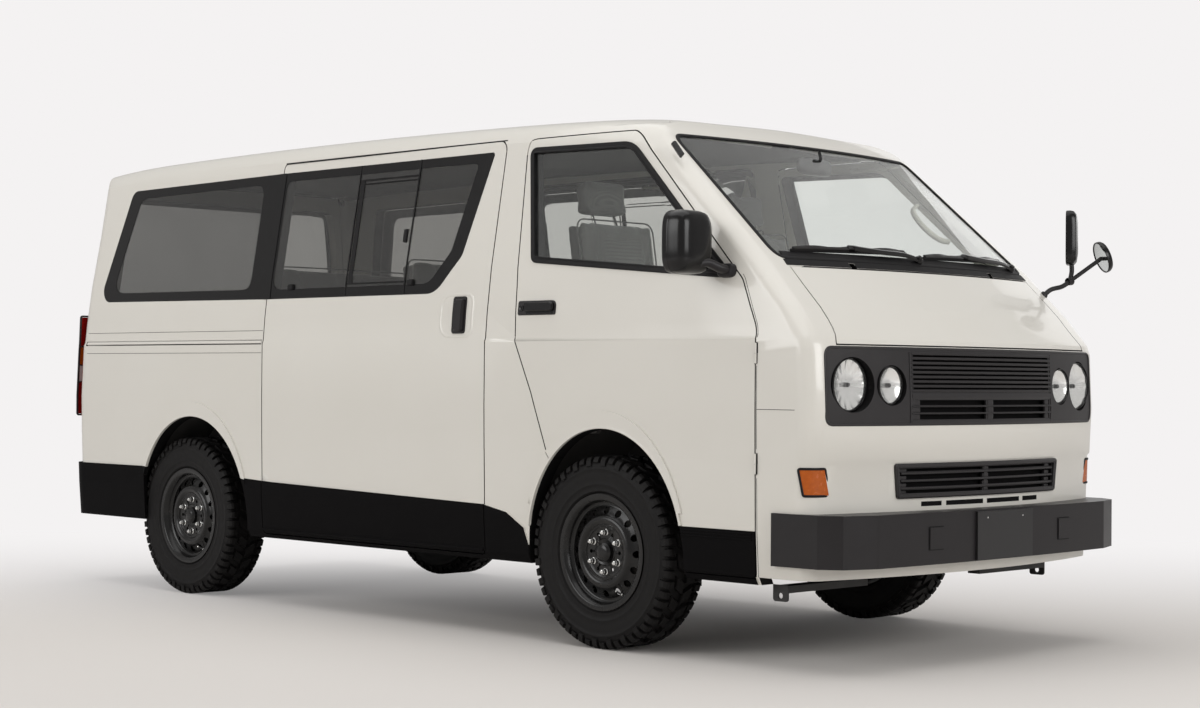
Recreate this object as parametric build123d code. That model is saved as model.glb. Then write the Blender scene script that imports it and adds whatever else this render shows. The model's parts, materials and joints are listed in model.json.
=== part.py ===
from build123d import *
from math import cos, sin, radians
import os

os.makedirs("parts", exist_ok=True)

# Passenger van. Lengths are in millimetres. While pieces are built, X is measured forward from the
# front axle, Y to the left and Z up from the ground. The nodes are then moved so that the van is centred on its length.

# Overall layout
WHEELBASE = 2570
HALF_TRACK_FRONT = 737
HALF_TRACK_REAR = 724
FRONT_END_X = 1144

# Body lines, one row for each level:
# height, half width, nose centre X, nose corner radius, tail centre X, tail corner radius
BODY_LEVELS = [
    (280, 814, 1040, 60, -3440, 70),
    (310, 830, 1050, 70, -3452, 90),
    (460, 840, 1056, 75, -3462, 100),
    (565, 842, 1058, 75, -3470, 105),
    (684, 844.5, 1061, 75, -3473.5, 105),
    (694, 845, 1070, 75, -3474, 105),
    (860, 847.5, 1077, 75, -3475, 105),
    (1060, 847.5, 1068, 75, -3462, 105),
    (1092, 847.5, 1057, 75, -3459, 105),
    (1106, 842, 1048, 75, -3457, 105),
    (1200, 835, 968, 75, -3452, 105),
    (1365, 816, 800, 75, -3443, 105),
    (1600, 777, 524, 75, -3428, 100),
    (1824, 740, 261, 70, -3424, 95),
    (2000, 706, 54, 60, -3420, 90),
]
NOSE_BOW = 0.000151
TAIL_BOW = 0.00003
ROOF_LINE = [(-3700, 1880), (-3400, 1922), (-2800, 1948), (-2000, 1955), (-1000, 1948), (-300, 1931),
             (0, 1914), (150, 1893), (260, 1860), (420, 1780)]
ROOF_SECTION = [(0, 0), (400, -8), (630, -24), (692, -46), (726, -84), (770, -160)]

# Panel thicknesses and joints between panels
WALL = 60
NOSE_WALL = 78
ROOF_THICKNESS = 38
GLASS = 6
GLASS_SETBACK = 1
SHUT_GAP = 5
SHUT_TAPER = 12
DOOR_INNER_GAP = 5
CLADDING_STEP = 5
FLARE_STEP = 7
FLARE_WIDTH = 62

# Wheel arches: centre X, half width, half height above the wheel centre
WHEEL_RADIUS = 342
ARCH_FRONT = (27, 384, 440)
ARCH_REAR = (78 - WHEELBASE, 402, 438)
WHEELHOUSE_GAP = 26
REAR_TYRE_GAP = 22
TYRE_SIDE_GAP = 5

# Doors and windows, as corner points (X, Z) with a corner radius
ROOF_JOINT_Z = 1874
BODY_BOTTOM_Z = 280
VALANCE_Z = 306
FRONT_DOOR = [(-506, 1872, 50), (84, 1872, 95), (662, 1296, 60), (735, 1130, 90), (735, 298, 12),
              (300, 298, 4), (-120, 500, 4), (-262, 700, 4), (-340, 905, 60), (-432, 1100, 60),
              (-448, 1300, 60)]
FRONT_WINDOW = [(-452, 1806, 24), (70, 1794, 120), (452, 1440, 60), (610, 1303, 22), (-372, 1388, 26)]
MIRROR_PATCH_X = 470
SLIDING_DOOR = (-1980, -597, 300, 1850)
SLIDING_WINDOW = [(-1966, 1278, 8), (-1966, 1812, 8), (-655, 1812, 12), (-770, 1420, 60), (-905, 1278, 120)]
QUARTER_WINDOW = [(-3268, 1290, 60), (-3120, 1800, 46), (-1998, 1812, 8), (-1998, 1278, 8)]
RAIL_GROOVE = (-3350, -1990, 1099, 20, 12)
CLADDING_LINE = [(-2120, 525), (-1900, 515), (-600, 486), (-470, 462), (-380, 410), (-350, 330)]
FRONT_CLADDING_Z = 458

# Nose openings, as (|Y|, Z) corners
WINDSCREEN = [(676, 1826), (724, 1362)]
WINDSCREEN_RADIUS = 45
BONNET = [(728, 1077), (727, 1088), (719, 1106), (711, 1128), (706, 1158), (704, 1200), (700, 1270),
          (694, 1336), (690, 1420)]
BONNET_TOP_Z = 1336
BONNET_THICKNESS = 30
LAMP_PANEL = (788, 808, 1070, 34)
LAMP_PANEL_THICKNESS = 42
HEADLAMP_OUTER = (672, 943, 91)
HEADLAMP_INNER = (503, 942, 67)
LAMP_RECESS = 14
LOWER_GRILLE = (466, 480, 566, 682)
LOWER_GRILLE_DEPTH = 30
GRILLE_BAR = 8
MARKER = (948, 800, 626, 84, 84)
MARKER_DEPTH = 18

UPPER_SLOTS = (8, 1041, 15.5, 6)
LOWER_SLOTS = (3, 885, 24, 17)
GRILLE_HALF = 404
GRILLE_SLOT_DEPTH = 24
LOWER_GRILLE_ROWS = 4

# Bumpers and plate
BUMPER_Z = (350, 523)
BUMPER_SIDE_Y = 853
BUMPER_BOW = 22
BUMPER_BACK_X = 812
REAR_BUMPER_Z = (312, 550)
REAR_BUMPER_FRONT_X = -2864
REAR_BUMPER_STEP = 31
PLATE = (330, 165, 8)
BUMPER_FACE_X = FRONT_END_X - PLATE[2]
PLATE_Z = 435
PLATE_HOLES = 210
PLATE_HOLE_R = 3.5
TOW_PAD = (381, 437, 72, 4)

# Hinge lines: door (X, |Y|), tailgate and bonnet (X, Z)
DOOR_AXIS = (738.5, 847)
DOOR_HINGES = [680, 1045]
TAILGATE_AXIS = (-3389.5, 1926)
TAILGATE_HINGES = [-420, 420]
BONNET_AXIS = (755, 1343)
BONNET_ARM_Y = 400

# Wipers and mirrors
WIPERS = [((-640, 1392), (-60, 1404)), ((20, 1392), (600, 1404))]
WIPER_R = 7
WIPER_PIVOT_Z = 1362
DOOR_MIRROR = (522, 942, 1415, 100, 166, 214)
FENDER_STALK = [(784, 772, 1284), (800, 800, 1310), (818, 848, 1323), (830, 884, 1344)]
FENDER_STALK_R = 9
FENDER_HEAD = (822, 905, 1512)
FENDER_ROUND = (924.2, 973.76, 1440.3)

# Tailgate
TAILGATE_HALF_TOP = 640
TAILGATE_HALF_BOTTOM = 716
TAILGATE_BOTTOM_Z = 560
TAILGATE_HINGE_X = -3392
TAIL_PLANE_X = -3500
TAILGATE_WINDOW = [(596, 1790), (660, 1300)]
TAIL_LAMP = (768, 1230, 62)

# Wheels and tyres
TYRE_WIDTH = 196
TYRE_WALL = 14
BEAD_RADIUS = 190.5
RIM_FLANGE_R = 207
RIM_WIDTH = 172
RIM_WALL = 6
DISC_OFFSET = 54
DISC_THICKNESS = 8
VENT_COUNT = 16
VENT_CIRCLE_R = 148
VENT_R = 13
NUT_CIRCLE_R = 69.85
STUD_HOLE_R = 7
HUB_R = 52
HUB_CAP_R = 33
SPINDLE_R = 17
SPINDLE_CLEARANCE = 0.05

# Steering and running gear
KINGPIN_Y = 655
KNUCKLE_R = 62
SUBFRAME_HALF_Y = 392
RAIL_WIDTH = 60
RAIL_HEIGHT = 100
FLOOR_Z = 500
FLOOR_THICKNESS = 50
SEAT_BOX = (-560, 452, 878)
REAR_BOX = (-2950, -2040, 812, 560)
AXLE_TUBE_R = 45
DIFF_R = 125
SPRING_Y = 500
ENGINE = (-535, 60, 540, 312, 830)
STEERING_CENTRE = (505, -395, 1205)
STEERING_TILT = 38
STEERING_R = 190

BAY_HALF = 395
CROSSMEMBERS = [-3250, -2020, -1250, 700]
ARM_LOW = (196, 236)
ARM_HIGH = (452, 492)
PIN_R = 14
HUB_FACE = 14
HUB_BORE_END = 30
AXLE_FLANGE = -120
DRUM_R = 128
TIE_DOWN = (775, 752, 244, 10)
JACK_PAD = (-1000, 60, 8)
EXHAUST = [(-960, -240, 336), (-1180, -300, 326), (-1720, -330, 326), (-1980, -425, 350),
           (-2300, -430, 432), (-2570, -430, 444), (-2900, -430, 425), (-3380, -430, 376)]
EXHAUST_R = 21
MUFFLER = ((-1220, -304, 326), (-1700, -330, 326), 66)
TANK = (-1960, -1320, 90, 320, 250, FLOOR_Z)

DASH_HALF = 740
DASH_GAP = 14

# Seats
SEAT_WIDTH = 500
SEAT_Y = 405
CUSHION = 130
SEAT_GAP = 0.3
BENCH_X = [-980, -1900]
BENCH_WIDTH = 1090


def plan_face(z, half, nose, nose_r, tail, tail_r):
    """Horizontal section of the body at one height."""
    nose_side = nose - NOSE_BOW * half**2
    tail_side = tail + TAIL_BOW * half**2
    front = ThreePointArc((nose_side, -half), (nose, 0), (nose_side, half))
    left = Line((nose_side, half), (tail_side, half))
    rear = ThreePointArc((tail_side, half), (tail, 0), (tail_side, -half))
    right = Line((tail_side, -half), (nose_side, -half))
    face = make_face(front + left + rear + right)
    face = fillet(face.vertices().sort_by(Axis.X)[-2:], nose_r)
    face = fillet(face.vertices().sort_by(Axis.X)[:2], tail_r)
    return Pos(0, 0, z) * face


def roof_cutter(drop):
    """Everything above the roof surface, lowered by drop."""
    path = Spline(*[(x, 0, z - drop) for x, z in ROOF_LINE])
    half = [(y, z) for y, z in ROOF_SECTION]
    points = [(-y, z) for y, z in reversed(half[1:])] + half
    at_start = Plane(origin=path @ 0, x_dir=(0, 1, 0), z_dir=path % 0)
    flip = at_start.y_dir.Z
    points = [(y, z * flip) for y, z in points]
    crown = Spline(*points)
    lid = Polyline(points[-1], (900, points[-1][1]), (900, 400 * flip), (-900, 400 * flip),
                   (-900, points[0][1]), points[0])
    return sweep(at_start * make_face(crown + lid), path=path)


def hull(side=0, front=0, rear=0, drop=0):
    """Solid body volume with every surface moved inwards by the given distances."""
    faces = []
    for z, half, nose, nose_r, tail, tail_r in BODY_LEVELS:
        faces.append(plan_face(z, half - side, nose - front, max(nose_r - side, 12), tail + rear,
                               max(tail_r - side, 12)))
    return loft(faces, ruled=True) - roof_cutter(drop)


def rounded_face(corners):
    """Flat face from (x, y, radius) corners."""
    face = make_face(Polyline(*[(x, y) for x, y, r in corners], close=True))
    for x, y, r in corners:
        if r > 0:
            face = fillet(face.vertices().sort_by_distance(Vector(x, y, 0))[:1], r)
    return face


def side_prism(face, start=0, depth=1000):
    """Prism from a face drawn in X and Z, running out to the right from Y = -start."""
    return extrude(Plane.XZ.offset(start) * face, amount=depth, dir=(0, -1, 0))


def nose_prism(face, start=500, depth=1000):
    """Prism from a face drawn in Y and Z, running forward from X = start."""
    return extrude(Plane.YZ.offset(start) * face, amount=depth, dir=(1, 0, 0))


def both(shape):
    """The shape and its mirror image on the other side."""
    return shape + mirror(shape, about=Plane.XZ)


def left_of(shape):
    """Mirror image of a right-hand shape."""
    return mirror(shape, about=Plane.XZ)


def box(x0, x1, y0, y1, z0, z1):
    """Box between limits."""
    return Pos((x0 + x1) / 2, (y0 + y1) / 2, (z0 + z1) / 2) * Box(x1 - x0, y1 - y0, z1 - z0)


def rod(p, q, r):
    """Round rod between two points."""
    return extrude(Plane(origin=p, z_dir=Vector(*q) - Vector(*p)) * Circle(r),
                   amount=(Vector(*q) - Vector(*p)).length)


def arch_face(arch, grow=0):
    """Wheel arch opening in X and Z, open down to the ground."""
    x, half, high = arch
    oval = Pos(x, WHEEL_RADIUS) * Ellipse(half + grow, high + grow)
    below = Pos(x, WHEEL_RADIUS / 2) * Rectangle(2 * (half + grow), WHEEL_RADIUS)
    return oval + below


def nose_at(z, y):
    """X of the body's front surface at a height and a distance to the side."""
    for lower, upper in zip(BODY_LEVELS, BODY_LEVELS[1:]):
        if lower[0] <= z <= upper[0]:
            share = (z - lower[0]) / (upper[0] - lower[0])
            return lower[2] + share * (upper[2] - lower[2]) - NOSE_BOW * y**2
    return 0


def ahead_of(x):
    """Everything in front of an upright wall that is bowed like the nose, X at its middle."""
    drop = NOSE_BOW * 1000**2
    plan = make_face(ThreePointArc((x - drop, -1000), (x, 0), (x - drop, 1000))
                     + Polyline((x - drop, 1000), (1500, 1000), (1500, -1000), (x - drop, -1000)))
    return extrude(Pos(0, 0, 200) * plan, amount=1600)


def export(name, shape):
    """Write one node, moved so that the van is centred on its length."""
    export_step(Pos(-middle_x, 0, 0) * shape, "parts/" + name + ".step")


def hinge(origin, direction, length, r, pin_r):
    """Two knuckles on one line: the fixed one, the moving one with its pin, and room around each."""
    plane = Plane(origin=origin, z_dir=direction)
    low = plane.offset(-length)
    fixed = extrude(low * Circle(r), amount=length - 1) - extrude(
        low * Circle(pin_r + SPINDLE_CLEARANCE), amount=length)
    moving = extrude(plane * Circle(r), amount=length) + extrude(low * Circle(pin_r), amount=length)
    room_fixed = extrude(low.offset(-2) * Circle(r + 2), amount=length + 1.5)
    room_moving = extrude(plane.offset(-0.5) * Circle(r + 2), amount=length + 2.5)
    return fixed, moving, room_fixed, room_moving


# ---------------------------------------------------------------- body skin
body = hull()
cavity = hull(WALL, NOSE_WALL, WALL, ROOF_THICKNESS)

sill_face = make_face(Polyline((-2120, 200), *CLADDING_LINE, (-350, 200), close=True))
front_face = Pos(560, (200 + FRONT_CLADDING_Z) / 2) * Rectangle(344, FRONT_CLADDING_Z - 200)
wide = hull(side=-CLADDING_STEP)
cladding = wide & both(side_prism(sill_face + front_face, 700, 300))
flare_body = hull(side=-FLARE_STEP)
flare_faces = []
for arch in (ARCH_FRONT, ARCH_REAR):
    crown = (arch[0], arch[1] + FLARE_WIDTH / 4, arch[2] + FLARE_WIDTH)
    ring = arch_face(crown) - arch_face(arch)
    flare_faces.append(ring & (Pos(arch[0], 800) * Rectangle(2000, 600)))
flares = flare_body & both(side_prism(flare_faces[0] + flare_faces[1], 700, 300))
skin = body + cladding + flares
arches = both(side_prism(arch_face(ARCH_FRONT) + arch_face(ARCH_REAR), 0, 1000))
tyre_room = (-WHEELBASE, WHEEL_RADIUS + REAR_TYRE_GAP, WHEEL_RADIUS + REAR_TYRE_GAP)
tyre_pocket = both(side_prism(arch_face(tyre_room), 0, HALF_TRACK_REAR + TYRE_WIDTH / 2 + TYRE_SIDE_GAP))
shell = skin - cavity - arches - tyre_pocket

# ---------------------------------------------------------------- side doors and windows
OUTSIDE_Y = max(row[1] for row in BODY_LEVELS) + FLARE_STEP + 1
door_face = rounded_face(FRONT_DOOR)
opening_face = offset(door_face, SHUT_GAP, kind=Kind.INTERSECTION)


def inward_prism(face, taper):
    """Prism that starts outside the right-hand wall and narrows inwards."""
    plane = Plane(origin=(0, -OUTSIDE_Y, 0), x_dir=(-1, 0, 0), z_dir=(0, 1, 0))
    flipped = mirror(face, about=Plane.YZ)
    return extrude(plane * flipped, amount=300, taper=taper)


door_tool = inward_prism(door_face, SHUT_TAPER)
door_opening = inward_prism(opening_face, SHUT_TAPER)
window_tool = side_prism(rounded_face(FRONT_WINDOW), 500, 500)
x0, x1, z0, z1 = SLIDING_DOOR
slide_face = rounded_face([(x0, z0, 20), (x1, z0, 20), (x1, z1, 40), (x0, z1, 20)])
slide_opening = side_prism(offset(slide_face, SHUT_GAP, kind=Kind.INTERSECTION), 500, 500)
slide_tool = side_prism(slide_face, 500, 500)
slide_window = side_prism(rounded_face(SLIDING_WINDOW), 600, 300)
quarter_window = side_prism(rounded_face(QUARTER_WINDOW), 500, 500)
glass_outer = hull(GLASS_SETBACK, GLASS_SETBACK, GLASS_SETBACK, 1)
glass_inner = hull(GLASS_SETBACK + GLASS, GLASS_SETBACK + 1.4 * GLASS, GLASS_SETBACK + GLASS, 8)
glass_layer = glass_outer - glass_inner

front_door = shell & (door_tool - window_tool)
front_glass = glass_layer & window_tool
sliding_door = (skin & (slide_tool - slide_window)) - cavity
side_glass = both((glass_layer & slide_window) + (glass_layer & quarter_window))

# ---------------------------------------------------------------- tools for the nose
w_top, w_low = WINDSCREEN
screen_face = rounded_face([(w_low[0], w_low[1], WINDSCREEN_RADIUS), (w_top[0], w_top[1], WINDSCREEN_RADIUS),
                            (-w_top[0], w_top[1], WINDSCREEN_RADIUS),
                            (-w_low[0], w_low[1], WINDSCREEN_RADIUS)])
screen_tool = nose_prism(screen_face, 0, 1200)
bonnet_points = [(y, z) for y, z in BONNET]
bonnet_face = make_face(Polyline(*bonnet_points, *[(-y, z) for y, z in reversed(bonnet_points)],
                                 close=True))
bonnet_tool = nose_prism(bonnet_face, 600, 700)
bonnet_opening = nose_prism(offset(bonnet_face, SHUT_GAP, kind=Kind.INTERSECTION), 600, 700)
under_bonnet = hull(front=BONNET_THICKNESS * 1.3)

half, low, high, radius = LAMP_PANEL
panel_face = rounded_face([(half, low, radius), (half, high, radius), (-half, high, radius),
                           (-half, low, radius)])
panel_tool = nose_prism(panel_face, 600, 700)
behind_panel = hull(front=LAMP_PANEL_THICKNESS)

bottom, top, low, high = LOWER_GRILLE
grille_face = rounded_face([(bottom, low, 12), (top, high, 12), (-top, high, 12), (-bottom, low, 12)])
grille_tool = nose_prism(grille_face, 600, 700)
behind_grille = hull(front=LOWER_GRILLE_DEPTH)

m_x, m_y, m_z, m_w, m_h = MARKER
marker_plane = Plane(origin=(m_x, -m_y, m_z), x_dir=(1, 1, 0), z_dir=(1, -1, 0))
marker_face = make_face(Polyline((-m_w / 2 - 8, m_h / 2), (m_w / 2 - 8, m_h / 2), (m_w / 2 + 8, -m_h / 2),
                                 (-m_w / 2 + 8, -m_h / 2), close=True))
marker_tool = extrude(marker_plane.offset(-200) * marker_face, amount=400)
behind_marker = hull(side=MARKER_DEPTH, front=MARKER_DEPTH)

# ---------------------------------------------------------------- split the shell
roof_tool = box(TAILGATE_HINGE_X + SHUT_GAP, 600, -900, 900, ROOF_JOINT_Z, 2200)
header_tool = box(-160, 600, -610, 610, 1700, 2200)
roof_region = roof_tool + header_tool
roof_panel = (shell & roof_region) - screen_tool

nose_tool = box(742, 1400, -1000, 1000, 200, 1362) + box(500, 1400, -724, 724, 200, 1362)
nose_region = shell & nose_tool
front_block = box(600, 1300, -1000, 1000, 200, 1700)
lid_pocket = bonnet_opening & ahead_of(nose_at(BONNET_TOP_Z, 0) - SHUT_GAP)
panel_pocket = (panel_tool & front_block) - behind_panel
grille_pocket = (grille_tool & front_block) - behind_grille
marker_pocket = both(marker_tool) - behind_marker
nose_panel = nose_region - lid_pocket - panel_pocket - grille_pocket - marker_pocket - screen_tool
bonnet = (body & bonnet_tool & ahead_of(nose_at(BONNET_TOP_Z, 0))) - under_bonnet

tail_face = make_face(Polyline((-TAILGATE_HALF_BOTTOM, TAILGATE_BOTTOM_Z),
                               (-TAILGATE_HALF_BOTTOM, 1280), (-TAILGATE_HALF_TOP, 2100),
                               (TAILGATE_HALF_TOP, 2100), (TAILGATE_HALF_BOTTOM, 1280),
                               (TAILGATE_HALF_BOTTOM, TAILGATE_BOTTOM_Z), close=True))
tail_plane = Plane(origin=(TAIL_PLANE_X, 0, 0), x_dir=(0, 1, 0), z_dir=(1, 0, 0))
tail_tool = extrude(tail_plane * tail_face, amount=320, taper=SHUT_TAPER)
tail_opening = extrude(tail_plane * offset(tail_face, SHUT_GAP, kind=Kind.INTERSECTION), amount=320,
                       taper=SHUT_TAPER)
tail_limit = box(-3600, TAILGATE_HINGE_X, -1000, 1000, 200, 2200)
tail_limit_low = box(-3600, -3340, -1000, 1000, 200, ROOF_JOINT_Z - 8)
y_top, z_top = TAILGATE_WINDOW[0]
y_low, z_low = TAILGATE_WINDOW[1]
tail_window_face = rounded_face([(y_low, z_low, 50), (y_top, z_top, 50), (-y_top, z_top, 50),
                                 (-y_low, z_low, 50)])
tail_window = extrude(tail_plane * tail_window_face, amount=320)
tailgate = shell & ((tail_tool - tail_window) & (tail_limit + tail_limit_low))
tailgate_glass = glass_layer & tail_window

lamp_y, lamp_top, lamp_w = TAIL_LAMP
lamp_face = rounded_face([(lamp_y - 28, lamp_top - 462, 10), (lamp_y - 36, lamp_top, 10),
                          (900, lamp_top, 0), (900, lamp_top - 462, 0)])
lamp_tool = extrude(tail_plane * (lamp_face + mirror(lamp_face, about=Plane.YZ)), amount=92)
behind_lamp = hull(side=30, rear=30)
lamp_pocket = lamp_tool - behind_lamp
tail_lamps = lamp_pocket & hull(side=-2, rear=-2)

tail_side = TAILGATE_HALF_BOTTOM + SHUT_GAP
rear_box = box(-3700, REAR_BUMPER_FRONT_X, -1000, 1000, 200, REAR_BUMPER_Z[1])
rear_box = rear_box + box(-3700, -3340, -tail_side, tail_side, 400, TAILGATE_BOTTOM_Z + 40)
bumper_body = hull(side=-4, rear=-REAR_BUMPER_STEP)
rear_bumper = (bumper_body - cavity - tyre_pocket) & box(-3700, REAR_BUMPER_FRONT_X, -1000, 1000, *REAR_BUMPER_Z)

groove = box(RAIL_GROOVE[0], RAIL_GROOVE[1], -1000, -OUTSIDE_Y + 7 + RAIL_GROOVE[4],
             RAIL_GROOVE[2] - RAIL_GROOVE[3] / 2, RAIL_GROOVE[2] + RAIL_GROOVE[3] / 2)
middle = shell - nose_tool - roof_region - rear_box - both(door_opening) - both(slide_opening)
middle = middle - screen_tool - both(quarter_window) - tail_opening - lamp_pocket - both(groove)
side_frames = Compound([s for s in middle.solids() if s.volume > 1e6])


# ---------------------------------------------------------------- hinges
for z in DOOR_HINGES:
    fixed, moving, room_fixed, room_moving = hinge((DOOR_AXIS[0], -DOOR_AXIS[1], z), (0, 0, 1), 34, 6.5, 3)
    front_door = (front_door - room_fixed) + moving
    nose_panel = (nose_panel - both(room_moving)) + both(fixed)
    side_frames = side_frames - both(room_fixed + room_moving)
for y in TAILGATE_HINGES:
    origin = (TAILGATE_AXIS[0], y, TAILGATE_AXIS[1])
    fixed, moving, room_fixed, room_moving = hinge(origin, (0, 1, 0), 36, 13, 5)
    tailgate = (tailgate - room_fixed) + moving
    roof_panel = (roof_panel - room_moving) + fixed
lid_x, lid_z = BONNET_AXIS
arm_face = make_face(Polyline((lid_x - 9, lid_z), (lid_x, lid_z + 9), (lid_x + 9, lid_z), (lid_x + 24, lid_z - 42),
                              (lid_x + 90, lid_z - 46), (lid_x + 90, lid_z - 64), (lid_x + 8, lid_z - 60),
                              close=True))
arms = both(side_prism(arm_face, BONNET_ARM_Y, 14)) - ((body - under_bonnet) & front_block)
arms = Compound([s for s in arms.solids() if s.volume > 1e4])
lid_pins = both(rod((lid_x, -BONNET_ARM_Y + 16, lid_z), (lid_x, -BONNET_ARM_Y - 30, lid_z), 5))
bonnet = bonnet + arms + lid_pins
arm_slots = both(box(lid_x - 30, lid_x + 125, -BONNET_ARM_Y - 20, -BONNET_ARM_Y + 6, lid_z - 85, lid_z + 14))
pin_room = both(rod((lid_x, -BONNET_ARM_Y + 22, lid_z), (lid_x, -BONNET_ARM_Y - 36, lid_z), 5 + SPINDLE_CLEARANCE))
nose_panel = nose_panel - arm_slots - pin_room - box(742, 1300, -1100, 1100, 0, VALANCE_Z)

# ---------------------------------------------------------------- lamp panel, grilles and lamps
lamp_y_outer, lamp_z_outer, lamp_r_outer = HEADLAMP_OUTER
lamp_y_inner, lamp_z_inner, lamp_r_inner = HEADLAMP_INNER
lamp_bores = nose_prism(Pos(lamp_y_outer, lamp_z_outer) * Circle(lamp_r_outer)
                        + Pos(lamp_y_inner, lamp_z_inner) * Circle(lamp_r_inner), 600, 700)
lamp_bores = both(lamp_bores)
slots = []
for k in range(UPPER_SLOTS[0]):
    z = UPPER_SLOTS[1] - k * UPPER_SLOTS[2]
    slots.append(Pos(0, z) * Rectangle(2 * GRILLE_HALF, UPPER_SLOTS[3]))
for k in range(LOWER_SLOTS[0]):
    z = LOWER_SLOTS[1] - k * LOWER_SLOTS[2]
    slots.append(Pos(GRILLE_HALF / 2 + 6, z) * Rectangle(GRILLE_HALF - 12, LOWER_SLOTS[3]))
    slots.append(Pos(-GRILLE_HALF / 2 - 6, z) * Rectangle(GRILLE_HALF - 12, LOWER_SLOTS[3]))
slot_face = slots[0]
for extra in slots[1:]:
    slot_face = slot_face + extra
panel_slots = nose_prism(slot_face, 600, 700) - hull(front=GRILLE_SLOT_DEPTH)
headlamp_panel = (body & panel_tool) - behind_panel - lamp_bores - panel_slots
headlamps = (hull(front=LAMP_RECESS) - behind_panel) & lamp_bores

frame_bars = []
rows = LOWER_GRILLE_ROWS
row_height = (LOWER_GRILLE[3] - LOWER_GRILLE[2] - (rows + 1) * GRILLE_BAR) / rows
for k in range(rows):
    z = LOWER_GRILLE[2] + GRILLE_BAR + row_height / 2 + k * (row_height + GRILLE_BAR)
    for side in (-1, 1):
        length = LOWER_GRILLE[0] - 2 * GRILLE_BAR
        frame_bars.append(Pos(side * (length / 2 + GRILLE_BAR), z) * Rectangle(length - 4, row_height))
bar_face = frame_bars[0]
for extra in frame_bars[1:]:
    bar_face = bar_face + extra
grille_slots = nose_prism(bar_face, 600, 700) - hull(front=LOWER_GRILLE_DEPTH - 8)
lower_grille = (body & grille_tool) - behind_grille - grille_slots
marker_lamps = (hull(-2, -2) - behind_marker) & both(marker_tool) & front_block

windscreen = glass_layer & screen_tool & box(0, 1200, -900, 900, 1200, 1900)

# ---------------------------------------------------------------- bumpers and plate


def bumper_plan(grow):
    """Outer plan shape of the front bumper."""
    front_x = BUMPER_FACE_X + grow
    side_y = BUMPER_SIDE_Y + grow
    corner = (front_x - BUMPER_BOW, 674)
    face = make_face(ThreePointArc((corner[0], -corner[1]), (front_x, 0), corner)
                     + Polyline(corner, (1070, side_y - 53), (1000, side_y - 7), (BUMPER_BACK_X, side_y),
                                (BUMPER_BACK_X, -side_y), (1000, 7 - side_y), (1070, 53 - side_y),
                                (corner[0], -corner[1])))
    return fillet(face.vertices().sort_by(Axis.X)[-2:], 40)


low, high = BUMPER_Z
bumper_solid = extrude(Pos(0, 0, low) * bumper_plan(0), amount=high - low)
pad_y, pad_z, pad_size, pad_step = TOW_PAD
pad_solid = extrude(Pos(0, 0, low) * bumper_plan(pad_step), amount=high - low)
pads = pad_solid & both(nose_prism(Pos(-pad_y, pad_z) * Rectangle(pad_size, pad_size), 900, 400))
plate_w, plate_h, plate_t = PLATE
hole_z = PLATE_Z + plate_h / 2 - 22
plate_bores = nose_prism(Pos(PLATE_HOLES / 2, hole_z) * Circle(PLATE_HOLE_R)
                         + Pos(-PLATE_HOLES / 2, hole_z) * Circle(PLATE_HOLE_R), BUMPER_FACE_X - 30, 60)
front_bumper = (bumper_solid + pads) - hull() - cavity - plate_bores
front_bumper = front_bumper & box(BUMPER_BACK_X, 1300, -1000, 1000, 200, 700)
plate_box = box(BUMPER_FACE_X, BUMPER_FACE_X + plate_t, -plate_w / 2, plate_w / 2,
                PLATE_Z - plate_h / 2, PLATE_Z + plate_h / 2)
number_plate = plate_box - plate_bores

# ---------------------------------------------------------------- wipers and mirrors


def tube_along(points, r):
    """Round bar along a smooth line."""
    path = Spline(*points)
    return sweep(Plane(origin=path @ 0, z_dir=path % 0) * Circle(r), path=path)


wipers = None
for start, end in WIPERS:
    low_y, low_z = start
    high_y, high_z = end
    line = []
    for k in range(5):
        y = low_y + (high_y - low_y) * k / 4
        z = low_z + (high_z - low_z) * k / 4
        line.append((nose_at(z, y) + WIPER_R + 0.3 - GLASS_SETBACK, y, z))
    blade = tube_along(line, WIPER_R)
    pivot = (nose_at(WIPER_PIVOT_Z, high_y) + 2, high_y + 30, WIPER_PIVOT_Z)
    arm = rod(pivot, (line[2][0] + 5, line[2][1], line[2][2]), WIPER_R)
    post = Pos(*pivot) * Cylinder(11, 22)
    unit = blade + arm + post
    wipers = unit if wipers is None else wipers + unit
wipers = wipers - hull()

mirror_x, mirror_y, mirror_z, mirror_t, mirror_w, mirror_h = DOOR_MIRROR
head = Pos(mirror_x, -mirror_y, mirror_z) * Box(mirror_t, mirror_w, mirror_h)
head = fillet(head.edges(), 26)
head = head + rod((mirror_x + 26, -mirror_y + 20, mirror_z - 60), (600, -812, 1312), 20)
patch = (hull(-6) - glass_inner) & window_tool & box(MIRROR_PATCH_X, 800, -1000, 0, 1200, 1700)
foot = (hull(-26) - body) & box(560, 636, -1000, 0, 1296, 1330)
door_mirror = (head - body) + patch + foot
door_mirror = door_mirror.solids().sort_by(SortBy.VOLUME)[-1]
mirror_blank = left_of(patch.solids().sort_by(SortBy.VOLUME)[-1])
front_glass = front_glass & box(-600, MIRROR_PATCH_X, -1000, 0, 1200, 1900)

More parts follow.
